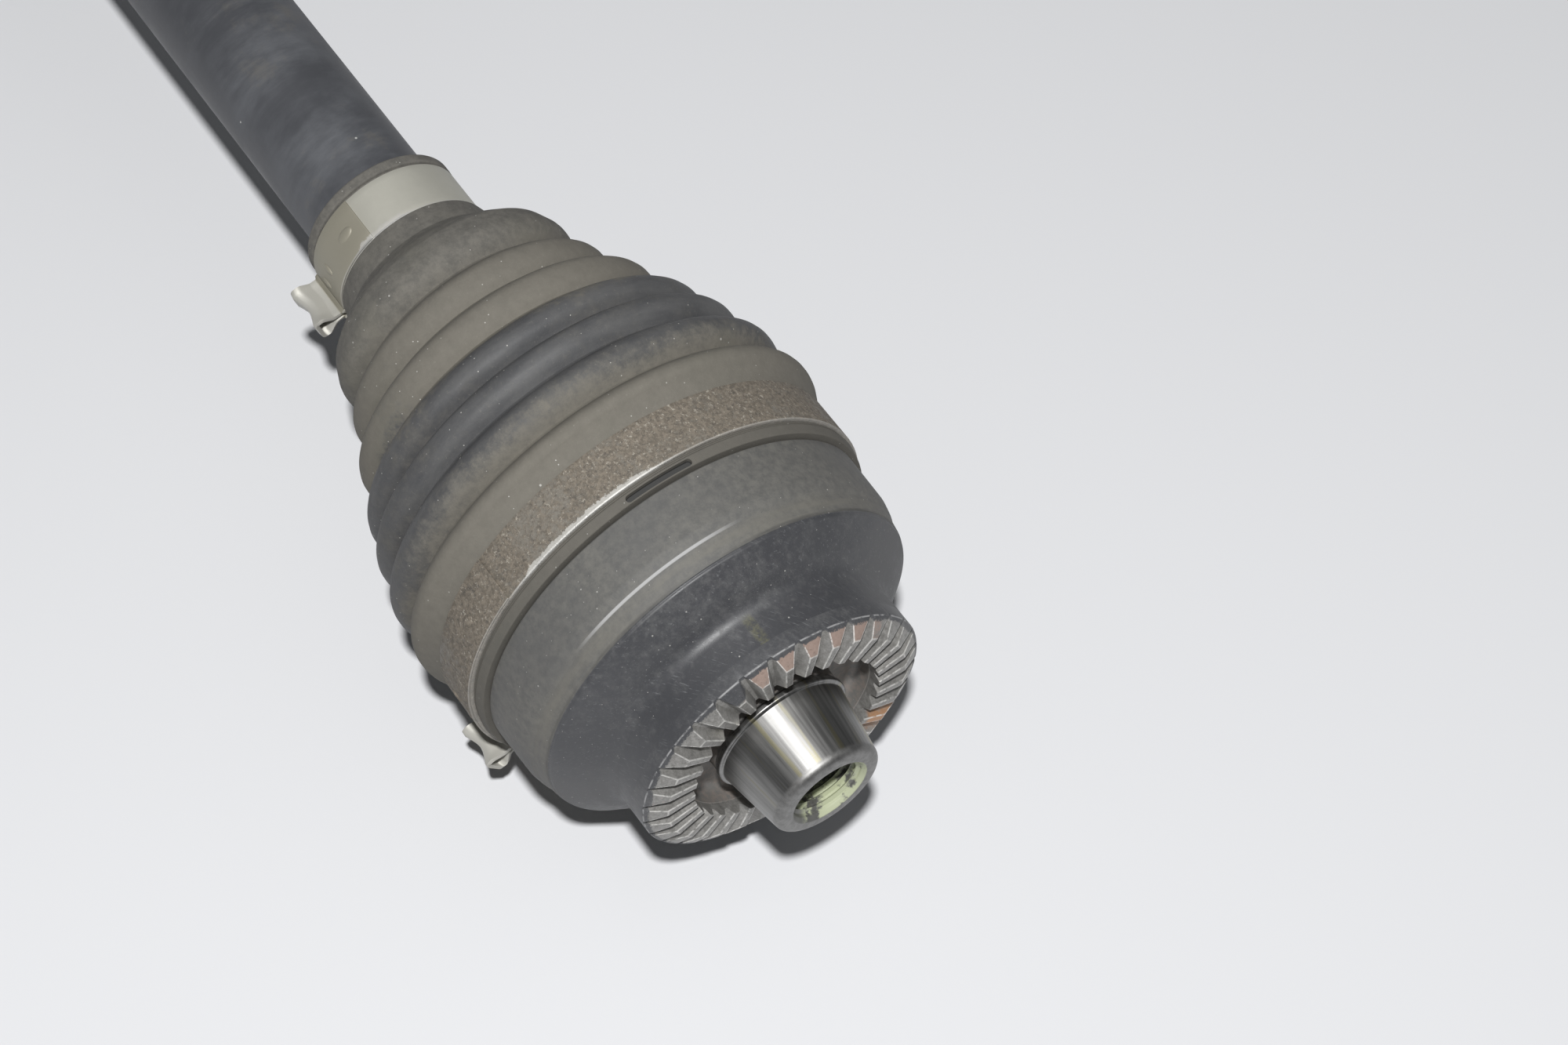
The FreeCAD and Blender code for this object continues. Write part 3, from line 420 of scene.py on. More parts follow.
def lean_folds(boot, low, high, lean):
    """Push the folds' tops towards the wheel and their undersides back, as they sit in the
    photo. The lattice has a row of points for each part of the length."""
    rows, side = 12, 60
    clear_selection()
    bpy.ops.object.add(type="LATTICE", location=((low + high) / 2 * MM, 0, 0))
    cage = bpy.context.object
    cage.scale = ((high - low) * MM, 2 * side * MM, 2 * side * MM)
    cage.data.points_u = rows
    cage.data.points_v = 2
    cage.data.points_w = 2
    for point in cage.data.points:
        along = point.co.x + 0.5
        ease = min(1, along / 0.12, (1 - along) / 0.12)
        up = (point.co.z * 0.947 - point.co.y * 0.321) * 2 * side
        point.co_deform.x += lean * up * max(ease, 0) / (high - low)
    modify(boot, "LATTICE", object=cage)
    bpy.data.objects.remove(cage)


def press_slot(boot):
    """The moulded slot with round ends in the boot's end band, near the top."""
    floor, middle, half_width, half_turn, place = 44.7, -37.85, 0.72, 8.4, 4.9
    clear_selection()
    bpy.ops.mesh.primitive_plane_add(
        size=1, location=(middle * MM, 0, (floor + 1) * MM), rotation=(math.pi / 2, 0, 0)
    )
    cutter = settle("slot_cutter")
    edit_all(cutter)
    centre = (middle * MM, 0, (floor + 1) * MM)
    bpy.ops.transform.resize(value=(2 * half_width * MM, 1, 2 * MM), center_override=centre)
    bpy.ops.transform.rotate(
        value=math.radians(-half_turn - place), orient_axis="X", center_override=CENTRE
    )
    bpy.ops.mesh.spin(
        steps=20, angle=math.radians(2 * half_turn), center=CENTRE, axis=AXIS
    )
    bpy.ops.mesh.select_all(action="DESELECT")
    bpy.ops.mesh.select_non_manifold()
    bpy.ops.mesh.edge_face_add()
    weld_and_face_out()
    leave_edit()
    angles = [clock(vertex.co) for vertex in cutter.data.vertices]
    ends = [min(angles, key=lambda a: (a + 180) % 360), max(angles, key=lambda a: (a + 180) % 360)]
    cutters = [cutter]
    for end in ends:
        clear_selection()
        bpy.ops.mesh.primitive_cylinder_add(
            vertices=20, radius=half_width * MM, depth=2 * MM,
            location=(middle * MM, 0, (floor + 1) * MM),
        )
        cap = settle("slot_end")
        turn_in_place(cap, -end)
        cutters.append(cap)
    for tool in cutters:
        modify(boot, "BOOLEAN", object=tool, operation="DIFFERENCE", solver="EXACT")
        bpy.data.objects.remove(tool)


def make_outer_boot():
    crests = [
        (-119.4, 28.9), (-108.9, 31.9), (-98.5, 36.9), (-87.3, 41.7), (-79.2, 44.7),
        (-69.2, 47.5), (-58.4, 48.9),
    ]
    section = [
        (-151.4, 14.8, 0.4),
        (-151.4, 17.8, 0.7),
        (-148.9, 17.8, 0.6),
        (-148.7, SMALL_SEAT_RADIUS, 0.3),
        (-136.4, SMALL_SEAT_RADIUS),
        (-136.3, 18.0, 0.4),
        (-130.4, 19.6, 1.0),
        (-129.0, 21.2, 1.0),
        (-126.6, 24.6, 3.0),
        (-124.2, 27.3, 2.0),
    ]
    section += bellows(crests, 4.6, 0, (-0.12, 6.3))
    section += [
        (-51.4, 46.3, 0.8),
        (-50.4, 45.8, 0.3),
        (-39.7, 45.8, 0.1),
        (-39.5, 45.3, 0.2),
        (-39.0, 46.1, 0.4),
        (-38.3, 45.9, 0.8),
        (-36.9, 45.6, 0.3),
        (-36.9, 42.95, 0.2),
        (-42.6, 42.95),
        (-42.6, 42.15),
        (-47.6, 42.15),
        (-47.6, 42.95),
        (-52.3, 42.95),
    ]
    section += list(reversed(bellows(crests, 4.6, BOOT_WALL, (-0.12, 6.0), detail=6)))
    section += [(-126.0, 22.5), (-130.6, 17.2), (-136.2, 15.2), (-137.2, 14.2), (-150.2, 14.2)]
    piece = turned("wheel_joint_boot", section, steps=180, ring=True, angle=50)
    lean_folds(piece, -134, -51.5, 0.11)
    press_slot(piece)
    return smooth(piece, 50)


def make_inner_boots():
    """The gearbox-end boot in two lengths that meet at the bottom of a fold."""
    small_seat, large_start, large_end = -428.0, -474.0, -493.0
    first, last, count = small_seat - 7.4, large_start + 7.7, 6
    crests = [
        (first + (last - first) * n / (count - 1),
         24.0 + 20.0 * math.sin(math.pi / 2 * n / (count - 1)) ** 1.2)
        for n in range(count)
    ]
    meet = 2.5
    near = [
        (small_seat + 15.4, 14.8, 0.4),
        (small_seat + 15.4, 17.8, 0.7),
        (small_seat + 13.0, 17.8, 0.6),
        (small_seat + 12.7, SMALL_SEAT_RADIUS, 0.3),
        (small_seat + 0.4, SMALL_SEAT_RADIUS, 0.8),
    ]
    near += bellows(crests, 4.0, 0, (-0.42, meet))
    near += list(reversed(bellows(crests, 4.0, BOOT_WALL, (-0.2, meet), detail=6)))
    near += [(small_seat + 0.2, 14.7), (small_seat + 1, 14.2), (small_seat + 14.2, 14.2)]
    bore = 44.9
    far = bellows(crests, 4.0, 0, (meet, 5.34))
    far += [
        (large_start, bore + 2.8, 1.0),
        (large_end + 2.9, bore + 2.8, 0.2),
        (large_end + 2.6, bore + 3.2, 0.4),
        (large_end + 0.5, bore + 3.2, 0.5),
        (large_end, bore + 2.6, 0.5),
        (large_end, bore),
        (large_start - 0.4, bore),
    ]
    far += list(reversed(bellows(crests, 4.0, BOOT_WALL, (meet, 5.1), detail=6)))
    return (
        turned("gearbox_joint_boot_small_end", near, steps=144, ring=True, angle=50),
        turned("gearbox_joint_boot_large_end", far, steps=144, ring=True, angle=50),
    )


# Clamps


def strap_loop(radius, foot, roof, height):
    """The strap's middle line seen along the shaft: a circle with a pinched ear at the top."""
    ear = [
        (radius * math.sin(0.12), radius * math.cos(0.12)),
        (foot + 0.9, radius + 0.1, 0.8),
        (foot, radius + 1.6, 1.6),
        (foot + 0.2, radius + height * 0.45, 1.6),
        (roof, radius + height * 0.78, 1.5),
        (roof - 0.2, radius + height, 1.5),
    ]
    left = [(-x, *rest) for x, *rest in reversed(ear)]
    half_ear = rounded(ear + left, False)
    start = 0.12
    round_stretch = [
        (radius * math.sin(a), radius * math.cos(a))
        for a in (start + (FULL - 2 * start) * n / 110 for n in range(1, 110))
    ]
    points = [(p.x, p.y) for p in half_ear]
    return points, [(-x, y) for x, y in round_stretch]


def pinch_ear(strap, middle, width, columns, foot, roof):
    """Squeeze the ear in the middle of its width, as pincers leave it."""
    for number in range(columns + 1):
        share = 2 * number / columns - 1
        here = middle + share * width / 2

        def in_column(place):
            return place.z > foot and abs(place.y) < roof + 1 and abs(place.x - here) < 0.1

        choose(strap, in_column)
        tall = 0.74 + 0.26 * abs(share) ** 1.5 - 0.14 * abs(share) ** 8
        bpy.ops.transform.resize(
            value=(1, 0.55 + 0.45 * share * share, tall),
            center_override=(here * MM, 0, foot * MM),
        )
        bpy.ops.transform.translate(value=(-share * abs(share) ** 5 * 0.5 * MM, 0, 0))
    leave_edit()


def make_clamp(name, middle, width, radius, turn):
    """A strap round the boot with a pinched ear and its overlapping end."""
    ear_height, ear_half_width = 8.4, 3.0
    centre_line = radius + BAND / 2
    ear, around = strap_loop(centre_line, 0.75, ear_half_width, ear_height)
    loop = ear + around
    loop.append(loop[0])
    left = middle - width / 2
    strap = draw_line(name, [(left, x, y) for x, y in loop])
    weld_and_face_out()
    columns = 8
    for _ in range(columns):
        bpy.ops.mesh.extrude_region_move(
            TRANSFORM_OT_translate={"value": (width / columns * MM, 0, 0)}
        )
    weld_and_face_out()
    pinch_ear(strap, middle, width, columns, centre_line + 1.2, ear_half_width)
    modify(strap, "SOLIDIFY", thickness=BAND * MM, offset=0, use_even_offset=True)
    soften(strap, 0.16, angle=50)

    start, stop, steps = 0.13, 1.34, 40
    outside = centre_line + BAND * 0.8
    angles = (start + (stop - start) * n / steps for n in range(steps + 1))
    left = middle - width / 2 + 0.1
    line = [(left, outside * math.sin(a), outside * math.cos(a)) for a in angles]
    over = draw_line(f"{name}_end", line)
    bpy.ops.mesh.select_all(action="SELECT")
    for _ in range(4):
        bpy.ops.mesh.extrude_region_move(
            TRANSFORM_OT_translate={"value": ((width - 0.2) / 4 * MM, 0, 0)}
        )
    weld_and_face_out()
    leave_edit()
    modify(over, "SOLIDIFY", thickness=BAND * 0.6 * MM, offset=0)
    soften(over, 0.12, angle=50)
    pips = [make_pip(centre_line + BAND * 0.9, middle, angle, size) for angle, size in PIPS]
    clamp = join([strap, over] + pips)
    turn_in_place(clamp, turn)
    return smooth(clamp, 42)


# Angle from the ear, and (length round the shaft, length along it, height).
PIPS = (
    (17, (1.5, 3.6, 1.1)),
    (31, (1.5, 3.6, 1.1)),
    (62, (4.4, 2.6, 0.9)),
)


def make_pip(radius, middle, angle, size):
    """A raised bump on the strap's end."""
    clear_selection()
    bpy.ops.mesh.primitive_uv_sphere_add(
        segments=20, ring_count=12, radius=MM / 2, location=(0, 0, 0)
    )
    pip = settle("pip")
    around, along, high = size
    edit_all(pip)
    bpy.ops.transform.resize(value=(along, around, high), center_override=CENTRE)
    bpy.ops.transform.translate(value=(middle * MM, 0, radius * MM))
    leave_edit()
    turn_in_place(pip, angle)
    return pip


# Bar and splines


def cut_spaces(piece, low, high, teeth, steps, share):
    """Press every other group of corners inwards to make spline teeth."""
    per_tooth = steps // teeth

    def in_space(place):
        step = round(clock(place) / 360 * steps) % per_tooth
        return low < place.x < high and step >= per_tooth / 2 and reach(place) > 8

    only(piece)
    choose(piece, in_space)
    bpy.ops.transform.resize(value=(1, share, share), center_override=CENTRE)
    leave_edit()


def make_bar():
    """The bar with a splined end in each joint, grooves for its rings, and two boot seats."""
    section = [
        (-24.5, 0),
        (-24.5, 11.6),
        (-25.5, 12.6),
        (-27.3, 12.6),
        (-27.3, 11.8),
        (-28.9, 11.8),
        (-28.9, 12.6),
        (-51.1, 12.6),
        (-51.1, 11.8),
        (-52.7, 11.8),
        (-52.7, 12.6),
        (-54.7, 12.6),
        (-58.7, 12.6, 6),
        (-82.7, BAR_RADIUS, 6),
        (-136, BAR_RADIUS, 0.3),
        (-137, 14.0, 0.3),
        (-150.4, 14.0, 0.3),
        (-151.4, BAR_RADIUS, 0.3),
        (-412.6, BAR_RADIUS, 0.3),
        (-413.6, 14.0, 0.3),
        (-427, 14.0, 0.3),
        (-428, BAR_RADIUS, 0.3),
        (-436, BAR_RADIUS, 4),
        (-448, 11.0, 4),
        (-488.8, 11.0, 1.5),
        (-492.8, 12.6, 0.5),
        (-493.8, 12.6),
        (-496.8, 12.6),
        (-496.8, 11.8),
        (-498.4, 11.8),
        (-498.4, 12.6),
        (-521.6, 12.6),
        (-521.6, 11.8),
        (-523.2, 11.8),
        (-523.2, 12.6),
        (-524.5, 12.6),
        (-525.5, 11.6),
        (-525.5, 0),
    ]
    teeth, steps = 28, 168
    piece = turned("steel_bar", section, steps=steps, angle=35)
    for low, high in ((-54, -25.6), (-524.4, -494.5)):
        cut_spaces(piece, low, high, teeth, steps, 0.915)
    return smooth(piece, 35)


# Shader nodes


class Value:
    """A socket that carries a number. Sums and products of values add their Math nodes."""

    def __init__(self, finish, socket):
        self.finish = finish
        self.socket = socket

    def math(self, operation, *numbers):
        sockets = dict(enumerate((self,) + numbers))
        return self.finish.node("ShaderNodeMath", {"operation": operation}, sockets)

    def __add__(self, other):
        return self.math("ADD", other)

    __radd__ = __add__

    def __mul__(self, other):
        return self.math("MULTIPLY", other)

    __rmul__ = __mul__

    def __sub__(self, other):
        return self.math("SUBTRACT", other)

    def __rsub__(self, other):
        return self.finish.node("ShaderNodeMath", {"operation": "SUBTRACT"}, {0: other, 1: self})

    def __truediv__(self, other):
        return self.math("DIVIDE", other)

    def __pow__(self, other):
        return self.math("POWER", other)

    def __abs__(self):
        return self.math("ABSOLUTE")

    def at_least(self, other):
        return self.math("MAXIMUM", other)

    def between(self, low, high):
        """0 at low and below, 1 at high and above, smooth between."""
        return self.finish.node(
            "ShaderNodeMapRange", {"interpolation_type": "SMOOTHSTEP"},
            {"Value": self, "From Min": low, "From Max": high, "To Min": 0.0, "To Max": 1.0},
        )


class Finish:
    """A node material in the making. Places are in millimetres."""

    def __init__(self, name):
        self.material = bpy.data.materials.new(name)
        self.material.use_nodes = True
        self.tree = self.material.node_tree
        self.tree.nodes.clear()
        self.place = self.node(
            "ShaderNodeVectorMath", {"operation": "SCALE"},
            {0: self.node("ShaderNodeTexCoord", output="Object"), "Scale": 1 / MM},
        )
        apart = self.node("ShaderNodeSeparateXYZ", {}, {0: self.place}, output=None)
        self.x, self.y, self.z = (Value(self, socket) for socket in apart.outputs)
        self.radius = (self.y * self.y + self.z * self.z) ** 0.5
        self.angle = self.y.math("ARCTAN2", self.z)

    def node(self, kind, settings=None, sockets=None, output=0):
        """Add a node, set it, fill its sockets, and give back one of its outputs."""
        node = self.tree.nodes.new(kind)
        for key, value in (settings or {}).items():
            setattr(node, key, value)
        for key, value in (sockets or {}).items():
            socket = node.inputs[key]
            if isinstance(value, Value):
                self.tree.links.new(value.socket, socket)
            else:
                socket.default_value = value
        return node if output is None else Value(self, node.outputs[output])

    def stretched(self, along, around):
        """A place on the turned surface: x times along, and the way round times around."""
        return self.node(
            "ShaderNodeCombineXYZ", {},
            {0: self.x * along, 1: self.angle.math("SINE") * around, 2: self.angle.math("COSINE") * around},
        )

    def noise(self, size, detail=4, roughness=0.6, place=None, distortion=0.0):
        """Cloudy noise whose patches are about size across."""
        return self.node(
            "ShaderNodeTexNoise", {},
            {"Vector": place or self.place, "Scale": 1 / size, "Detail": detail,
             "Roughness": roughness, "Distortion": distortion},
            output="Fac",
        )

    def specks(self, size, share):
        """Small round dots: 1 inside a dot. share is a dot's radius as a share of its cell."""
        distance = self.node(
            "ShaderNodeTexVoronoi", {"feature": "F1"},
            {"Vector": self.place, "Scale": 1 / size}, output="Distance",
        )
        return 1 - distance.between(share * 0.6, share)

    def mix(self, factor, first, second):
        """A colour between two. A tuple is a plain colour."""
        node = self.tree.nodes.new("ShaderNodeMix")
        node.data_type = "RGBA"
        node.clamp_factor = True
        for index, value in ((0, factor), (6, first), (7, second)):
            if isinstance(value, Value):
                self.tree.links.new(value.socket, node.inputs[index])
            else:
                node.inputs[index].default_value = value if index == 0 else (*value, 1)
        return Value(self, node.outputs[2])

    def bump(self, height, depth):
        sockets = {"Height": height, "Distance": depth * MM, "Strength": 1.0}
        return self.node("ShaderNodeBump", {}, sockets)

    def done(self, **sockets):
        """Finish with one shader whose sockets are named with _ for a space."""
        names = {key.replace("_", " "): value for key, value in sockets.items()}
        names["Base Color"] = names.get("Base Color", (0.5, 0.5, 0.5))
        if isinstance(names["Base Color"], tuple):
            names["Base Color"] = (*names["Base Color"], 1)
        shader = self.node("ShaderNodeBsdfPrincipled", {}, names)
        self.node("ShaderNodeOutputMaterial", {}, {"Surface": shader}, output=None)
        return self.material


def boot_rubber(name, bare_from, bare_to):
    """Dusty black rubber, barer on the folds between two places along the shaft."""
    paint = Finish(name)
    cloud = paint.noise(24, 6, 0.62)
    fine = paint.noise(2.4, 6, 0.75)
    grain = paint.noise(0.4, 3, 0.7)
    around = paint.noise(4.5, 5, 0.65, place=paint.stretched(1.0, 9.0))
    ragged = paint.x + (fine - 0.5) * 9 + (cloud - 0.5) * 16
    zone = ragged.between(bare_from - 3, bare_from + 3) * (1 - ragged.between(bare_to - 6, bare_to + 3))
    patch = paint.noise(6, 6, 0.75)
    bare = (cloud * 0.3 + patch * 0.35 + around * 0.3 + zone * 0.3).between(0.50, 0.80)
    dust = paint.mix(fine.between(0.3, 0.7), (0.100, 0.096, 0.087), (0.152, 0.144, 0.128))
    brown = ragged.between(bare_from - 30, bare_from - 18) * (1 - zone)
    dust = paint.mix(brown * 0.6, dust, (0.168, 0.155, 0.128))
    dust = paint.mix(cloud.between(0.50, 0.72) * 0.45, dust, (0.132, 0.127, 0.104))
    rubber = paint.mix(around.between(0.35, 0.7), (0.052, 0.054, 0.060), (0.092, 0.093, 0.096))
    colour = paint.mix(bare * 0.85, dust, rubber)
    powder = paint.noise(0.8, 6, 0.85).between(0.57, 0.70)
    colour = paint.mix(powder * 0.38, colour, (0.250, 0.238, 0.205))
    scuff = paint.noise(1.2, 6, 0.8, place=paint.stretched(0.5, 14)).between(0.66, 0.74)
    colour = paint.mix(scuff * 0.3, colour, (0.30, 0.29, 0.26))
    dots = paint.specks(2.4, 0.07) + paint.specks(7.5, 0.04)
    colour = paint.mix(dots * 0.7, colour, (0.50, 0.49, 0.46))
    lip = paint.x.between(-40.2, -39.6)
    colour = paint.mix(lip * 0.42, colour, (0.052, 0.050, 0.047))
    # Painted shade: the slot's floor is coloured dark, as shade in the recess.
    slot = (1 - paint.radius.between(44.9, 45.4)) * paint.x.between(-39.2, -38.9)
    colour = paint.mix(slot * (1 - paint.x.between(-37.1, -37.0)), colour, (0.045, 0.045, 0.044))
    height = grain * 0.4 + fine * 0.35 + scuff * 0.2
    return paint.done(
        Base_Color=colour, Roughness=0.80 - bare * 0.26 + grain * 0.1,
        Specular_IOR_Level=0.35, Normal=paint.bump(height, 0.11),
    )


def strap_steel(name, radius, base, end, rust, rust_share, bright):
    """Band steel of one radius. Its overlapping end has a tone of its own, the ear stays
    clean, and a worn bare edge at one place along the shaft carries a painted highlight, strongest near the
    top."""
    paint = Finish(name)
    cloud = paint.noise(14, 5, 0.6)
    fine = paint.noise(1.3, 6, 0.78)
    grain = paint.noise(0.8, 5, 0.8)
    ear = paint.radius.between(radius + 2.0, radius + 2.6)
    over = paint.radius.between(radius + 1.0, radius + 1.08) * (1 - ear)
    colour = paint.mix(cloud.between(0.35, 0.65) * 0.4, base, tuple(c * 0.78 for c in base))
    colour = paint.mix(over, colour, end)
    rusty = (cloud * 0.45 + fine * 0.6 + rust_share).between(0.52, 0.68) * (1 - ear * 0.8)
    rust_colour = paint.mix(grain.between(0.42, 0.58), rust, tuple(c * 1.7 for c in rust))
    colour = paint.mix(rusty * 0.9, colour, rust_colour)
    dark = paint.noise(1.5, 6, 0.85).between(0.52, 0.62) * rusty
    colour = paint.mix(dark * 0.75, colour, (0.070, 0.064, 0.056))
    flecks = paint.noise(0.9, 4, 0.85).between(0.56, 0.66)
    colour = paint.mix(flecks * 0.7 * rusty, colour, (0.46, 0.43, 0.37))
    colour = paint.mix(ear, colour, (0.44, 0.43, 0.39))
    # Painted highlight: the chipped band and the bare edge are worn steel, and both are made lighter and
    # wider near the top, where the edge faces the light.
    highlight_near_top = 1 - abs(paint.angle + 0.42).between(0.26, 0.52)
    ragged = paint.x + (fine - 0.5) * 3.2 - (1 - highlight_near_top) * 3
    chipped = ragged.between(bright - 1.0, bright - 0.7)
    bare = paint.x.between(bright - 0.15, bright) * (highlight_near_top * 0.7 + 0.3)
    colour = paint.mix(chipped * 0.85, colour, (0.46, 0.45, 0.42))
    colour = paint.mix(bare, colour, (0.66, 0.65, 0.62))
    metal = 0.30 - rusty * 0.2 + bare * 0.4
    rough = 0.46 + rusty * 0.3 + grain * 0.14 - bare * 0.2
    height = grain * (0.25 + rusty * 0.5) + fine * 0.4 * rusty
    return paint.done(
        Base_Color=colour, Metallic=metal, Roughness=rough, Normal=paint.bump(height, 0.10)
    )


def bar_paint():
    """Thin dark paint with pale smeared dust."""
    paint = Finish("bar_dark_paint")
    smear = paint.noise(5, 7, 0.7, distortion=0.3, place=paint.stretched(0.35, 1.4))
    cloud = paint.noise(38, 4, 0.6)
    streak = paint.noise(1.2, 5, 0.7, place=paint.stretched(0.06, 12))
    dust = (smear * 0.6 + cloud * 0.55).between(0.46, 0.76)
    colour = paint.mix(cloud, (0.046, 0.048, 0.054), (0.070, 0.072, 0.079))
    colour = paint.mix(dust * 0.75, colour, (0.132, 0.138, 0.150))
    brown = (paint.noise(22, 5, 0.7) + (smear - 0.5) * 0.6).between(0.58, 0.72)
    colour = paint.mix(brown * 0.35, colour, (0.130, 0.120, 0.102))
    colour = paint.mix(paint.specks(8, 0.04) * 0.8, colour, (0.5, 0.5, 0.48))
    rough = 0.38 + dust * 0.30 + streak * 0.1
    height = smear * 0.25 + paint.noise(0.8, 3, 0.6) * 0.3
    return paint.done(
        Base_Color=colour, Roughness=rough, Specular_IOR_Level=0.5,
        Normal=paint.bump(height, 0.05),
    )


def black_paint(paint, cloud, fine):
    """The bell's black paint: settled dust, fine slanting scratches."""
    slant = paint.node(
        "ShaderNodeCombineXYZ", {},
        {0: (paint.x + paint.angle * 26) * 0.12, 1: paint.angle * 34 - paint.x * 0.7, 2: paint.radius},
    )
    scratch = paint.noise(0.5, 4, 0.7, place=slant).between(0.58, 0.72)
    # The mask also grows towards the sides, away from the line that faces the camera, which makes the paint
    # lighter there.
    off_camera_sides = abs(paint.angle + 0.33).between(0.8, 1.7) * 0.14
    settled = (fine * 0.6 + cloud * 0.5 + off_camera_sides).between(0.50, 0.80)
    black = paint.mix(cloud, (0.040, 0.041, 0.045), (0.060, 0.061, 0.066))
    black = paint.mix(settled * 0.6, black, (0.128, 0.128, 0.127))
    black = paint.mix(scratch * 0.5, black, (0.200, 0.205, 0.210))
    return black, settled


def bell_finish():
    """Dust on the bell with a painted highlight on its step line, black paint on its neck, bare
    turned steel on the spigot with grease and painted reflection streaks, and grease in the bore."""
    paint = Finish("bell_paint_and_bare_spigot")
    cloud = paint.noise(20, 6, 0.62)
    fine = paint.noise(1.8, 6, 0.74)
    grain = paint.noise(0.3, 3, 0.7)
    around = paint.noise(3.0, 5, 0.7, place=paint.stretched(1.2, 5))
    dusty = 1 - paint.x.between(BELL_EDGE - 0.1, BELL_EDGE + 0.1)
    steel = paint.x.between(-1.9, -1.5) * (1 - paint.radius.between(16.8, 17.2))
    pocket = paint.x.between(-6.2, -5.9) * (1 - paint.radius.between(22.2, 22.6)) * (1 - steel)

    dust = paint.mix(fine.between(0.3, 0.7), (0.092, 0.091, 0.087), (0.138, 0.134, 0.122))
    dust = paint.mix(cloud.between(0.42, 0.72) * 0.5, dust, (0.086, 0.086, 0.087))
    ridge = paint.x.between(-24.5, -21.0) * around.between(0.3, 0.7)
    dust = paint.mix(ridge * 0.45, dust, (0.165, 0.155, 0.128))
    spots = (paint.noise(2.6, 5, 0.7) + (fine - 0.5) * 0.2).between(0.68, 0.74)
    dust = paint.mix(spots * 0.6, dust, (0.045, 0.045, 0.047))
    groove = paint.x.between(-19.6, -18.9) * around.between(0.35, 0.6)
    dust = paint.mix(groove * 0.7, dust, (0.038, 0.038, 0.038))
    # Painted highlight: a thin light line along the edge of the step, strongest near the top.
    step = paint.x.between(-23.5, -23.3) * (1 - paint.x.between(-23.0, -22.8))
    highlight_near_top = 1 - abs(paint.angle + 0.36).between(0.22, 0.50)
    dust = paint.mix(step * highlight_near_top * 0.8, dust, (0.42, 0.42, 0.42))

    black, settled = black_paint(paint, cloud, fine)
    stain = (1 - abs(paint.angle + 0.085).between(0.015, 0.045)) * fine.between(0.35, 0.6)
    black = paint.mix(stain * 0.5 * paint.x.between(-11, -9), black, (0.150, 0.145, 0.070))

    # Axial streaks on the spigot: partly grease and wear traces, partly painted reflection bands that stand
    # in for the room mirrored in the turned steel.
    streak = paint.noise(0.9, 4, 0.65, place=paint.stretched(0.03, 12))
    end = paint.x.between(SPIGOT_END - 2.2, SPIGOT_END - 1.4)
    wear_and_sheen = streak * (1 - end) + fine * end
    metal = paint.mix(wear_and_sheen.between(0.32, 0.68), (0.19, 0.188, 0.183), (0.29, 0.287, 0.28))
    yellow = paint.noise(2.0, 3, 0.6, place=paint.stretched(0.03, 10)).between(0.58, 0.68)
    metal = paint.mix(yellow * 0.5 * (1 - end), metal, (0.30, 0.27, 0.13))
    bore = (1 - paint.radius.between(8.6, 8.9)) * steel
    slime = (paint.noise(4.5, 4, 0.6) + (fine - 0.5) * 0.3).between(0.40, 0.50) * bore
    slime = slime * (paint.y - paint.z).between(-1.0, 3.5)
    metal = paint.mix(bore * 0.6, metal, (0.13, 0.13, 0.12))
    metal = paint.mix(slime * 0.9, metal, (0.42, 0.45, 0.30))
    floor = paint.mix(fine.between(0.4, 0.65), (0.20, 0.195, 0.185), (0.27, 0.235, 0.21))

    colour = paint.mix(dusty, black, dust)
    colour = paint.mix(steel, colour, metal)
    colour = paint.mix(pocket, colour, floor)
    dots = (paint.specks(4.2, 0.05) + paint.specks(1.9, 0.06)) * (1 - steel)
    colour = paint.mix(dots * 0.7, colour, (0.42, 0.41, 0.39))
    rough = 0.40 + settled * 0.24 + grain * 0.05
    rough = rough * (1 - dusty) + (0.60 + fine * 0.14) * dusty
    rough = rough * (1 - steel) + (0.30 + wear_and_sheen * 0.18 + slime * 0.05 + end * 0.12) * steel
    rough = rough * (1 - pocket) + 0.5 * pocket
    turned_lines = paint.noise(0.22, 2, 0.5, place=paint.stretched(1.0, 0.02))
    height = grain * 0.25 * (1 - steel) + fine * 0.35 * dusty + turned_lines * 0.12 * steel
    return paint.done(
        Base_Color=colour, Metallic=steel * (1 - slime) * (1 - bore * 0.4) + pocket * 0.4,
        Roughness=rough, Normal=paint.bump(height, 0.07),
    )


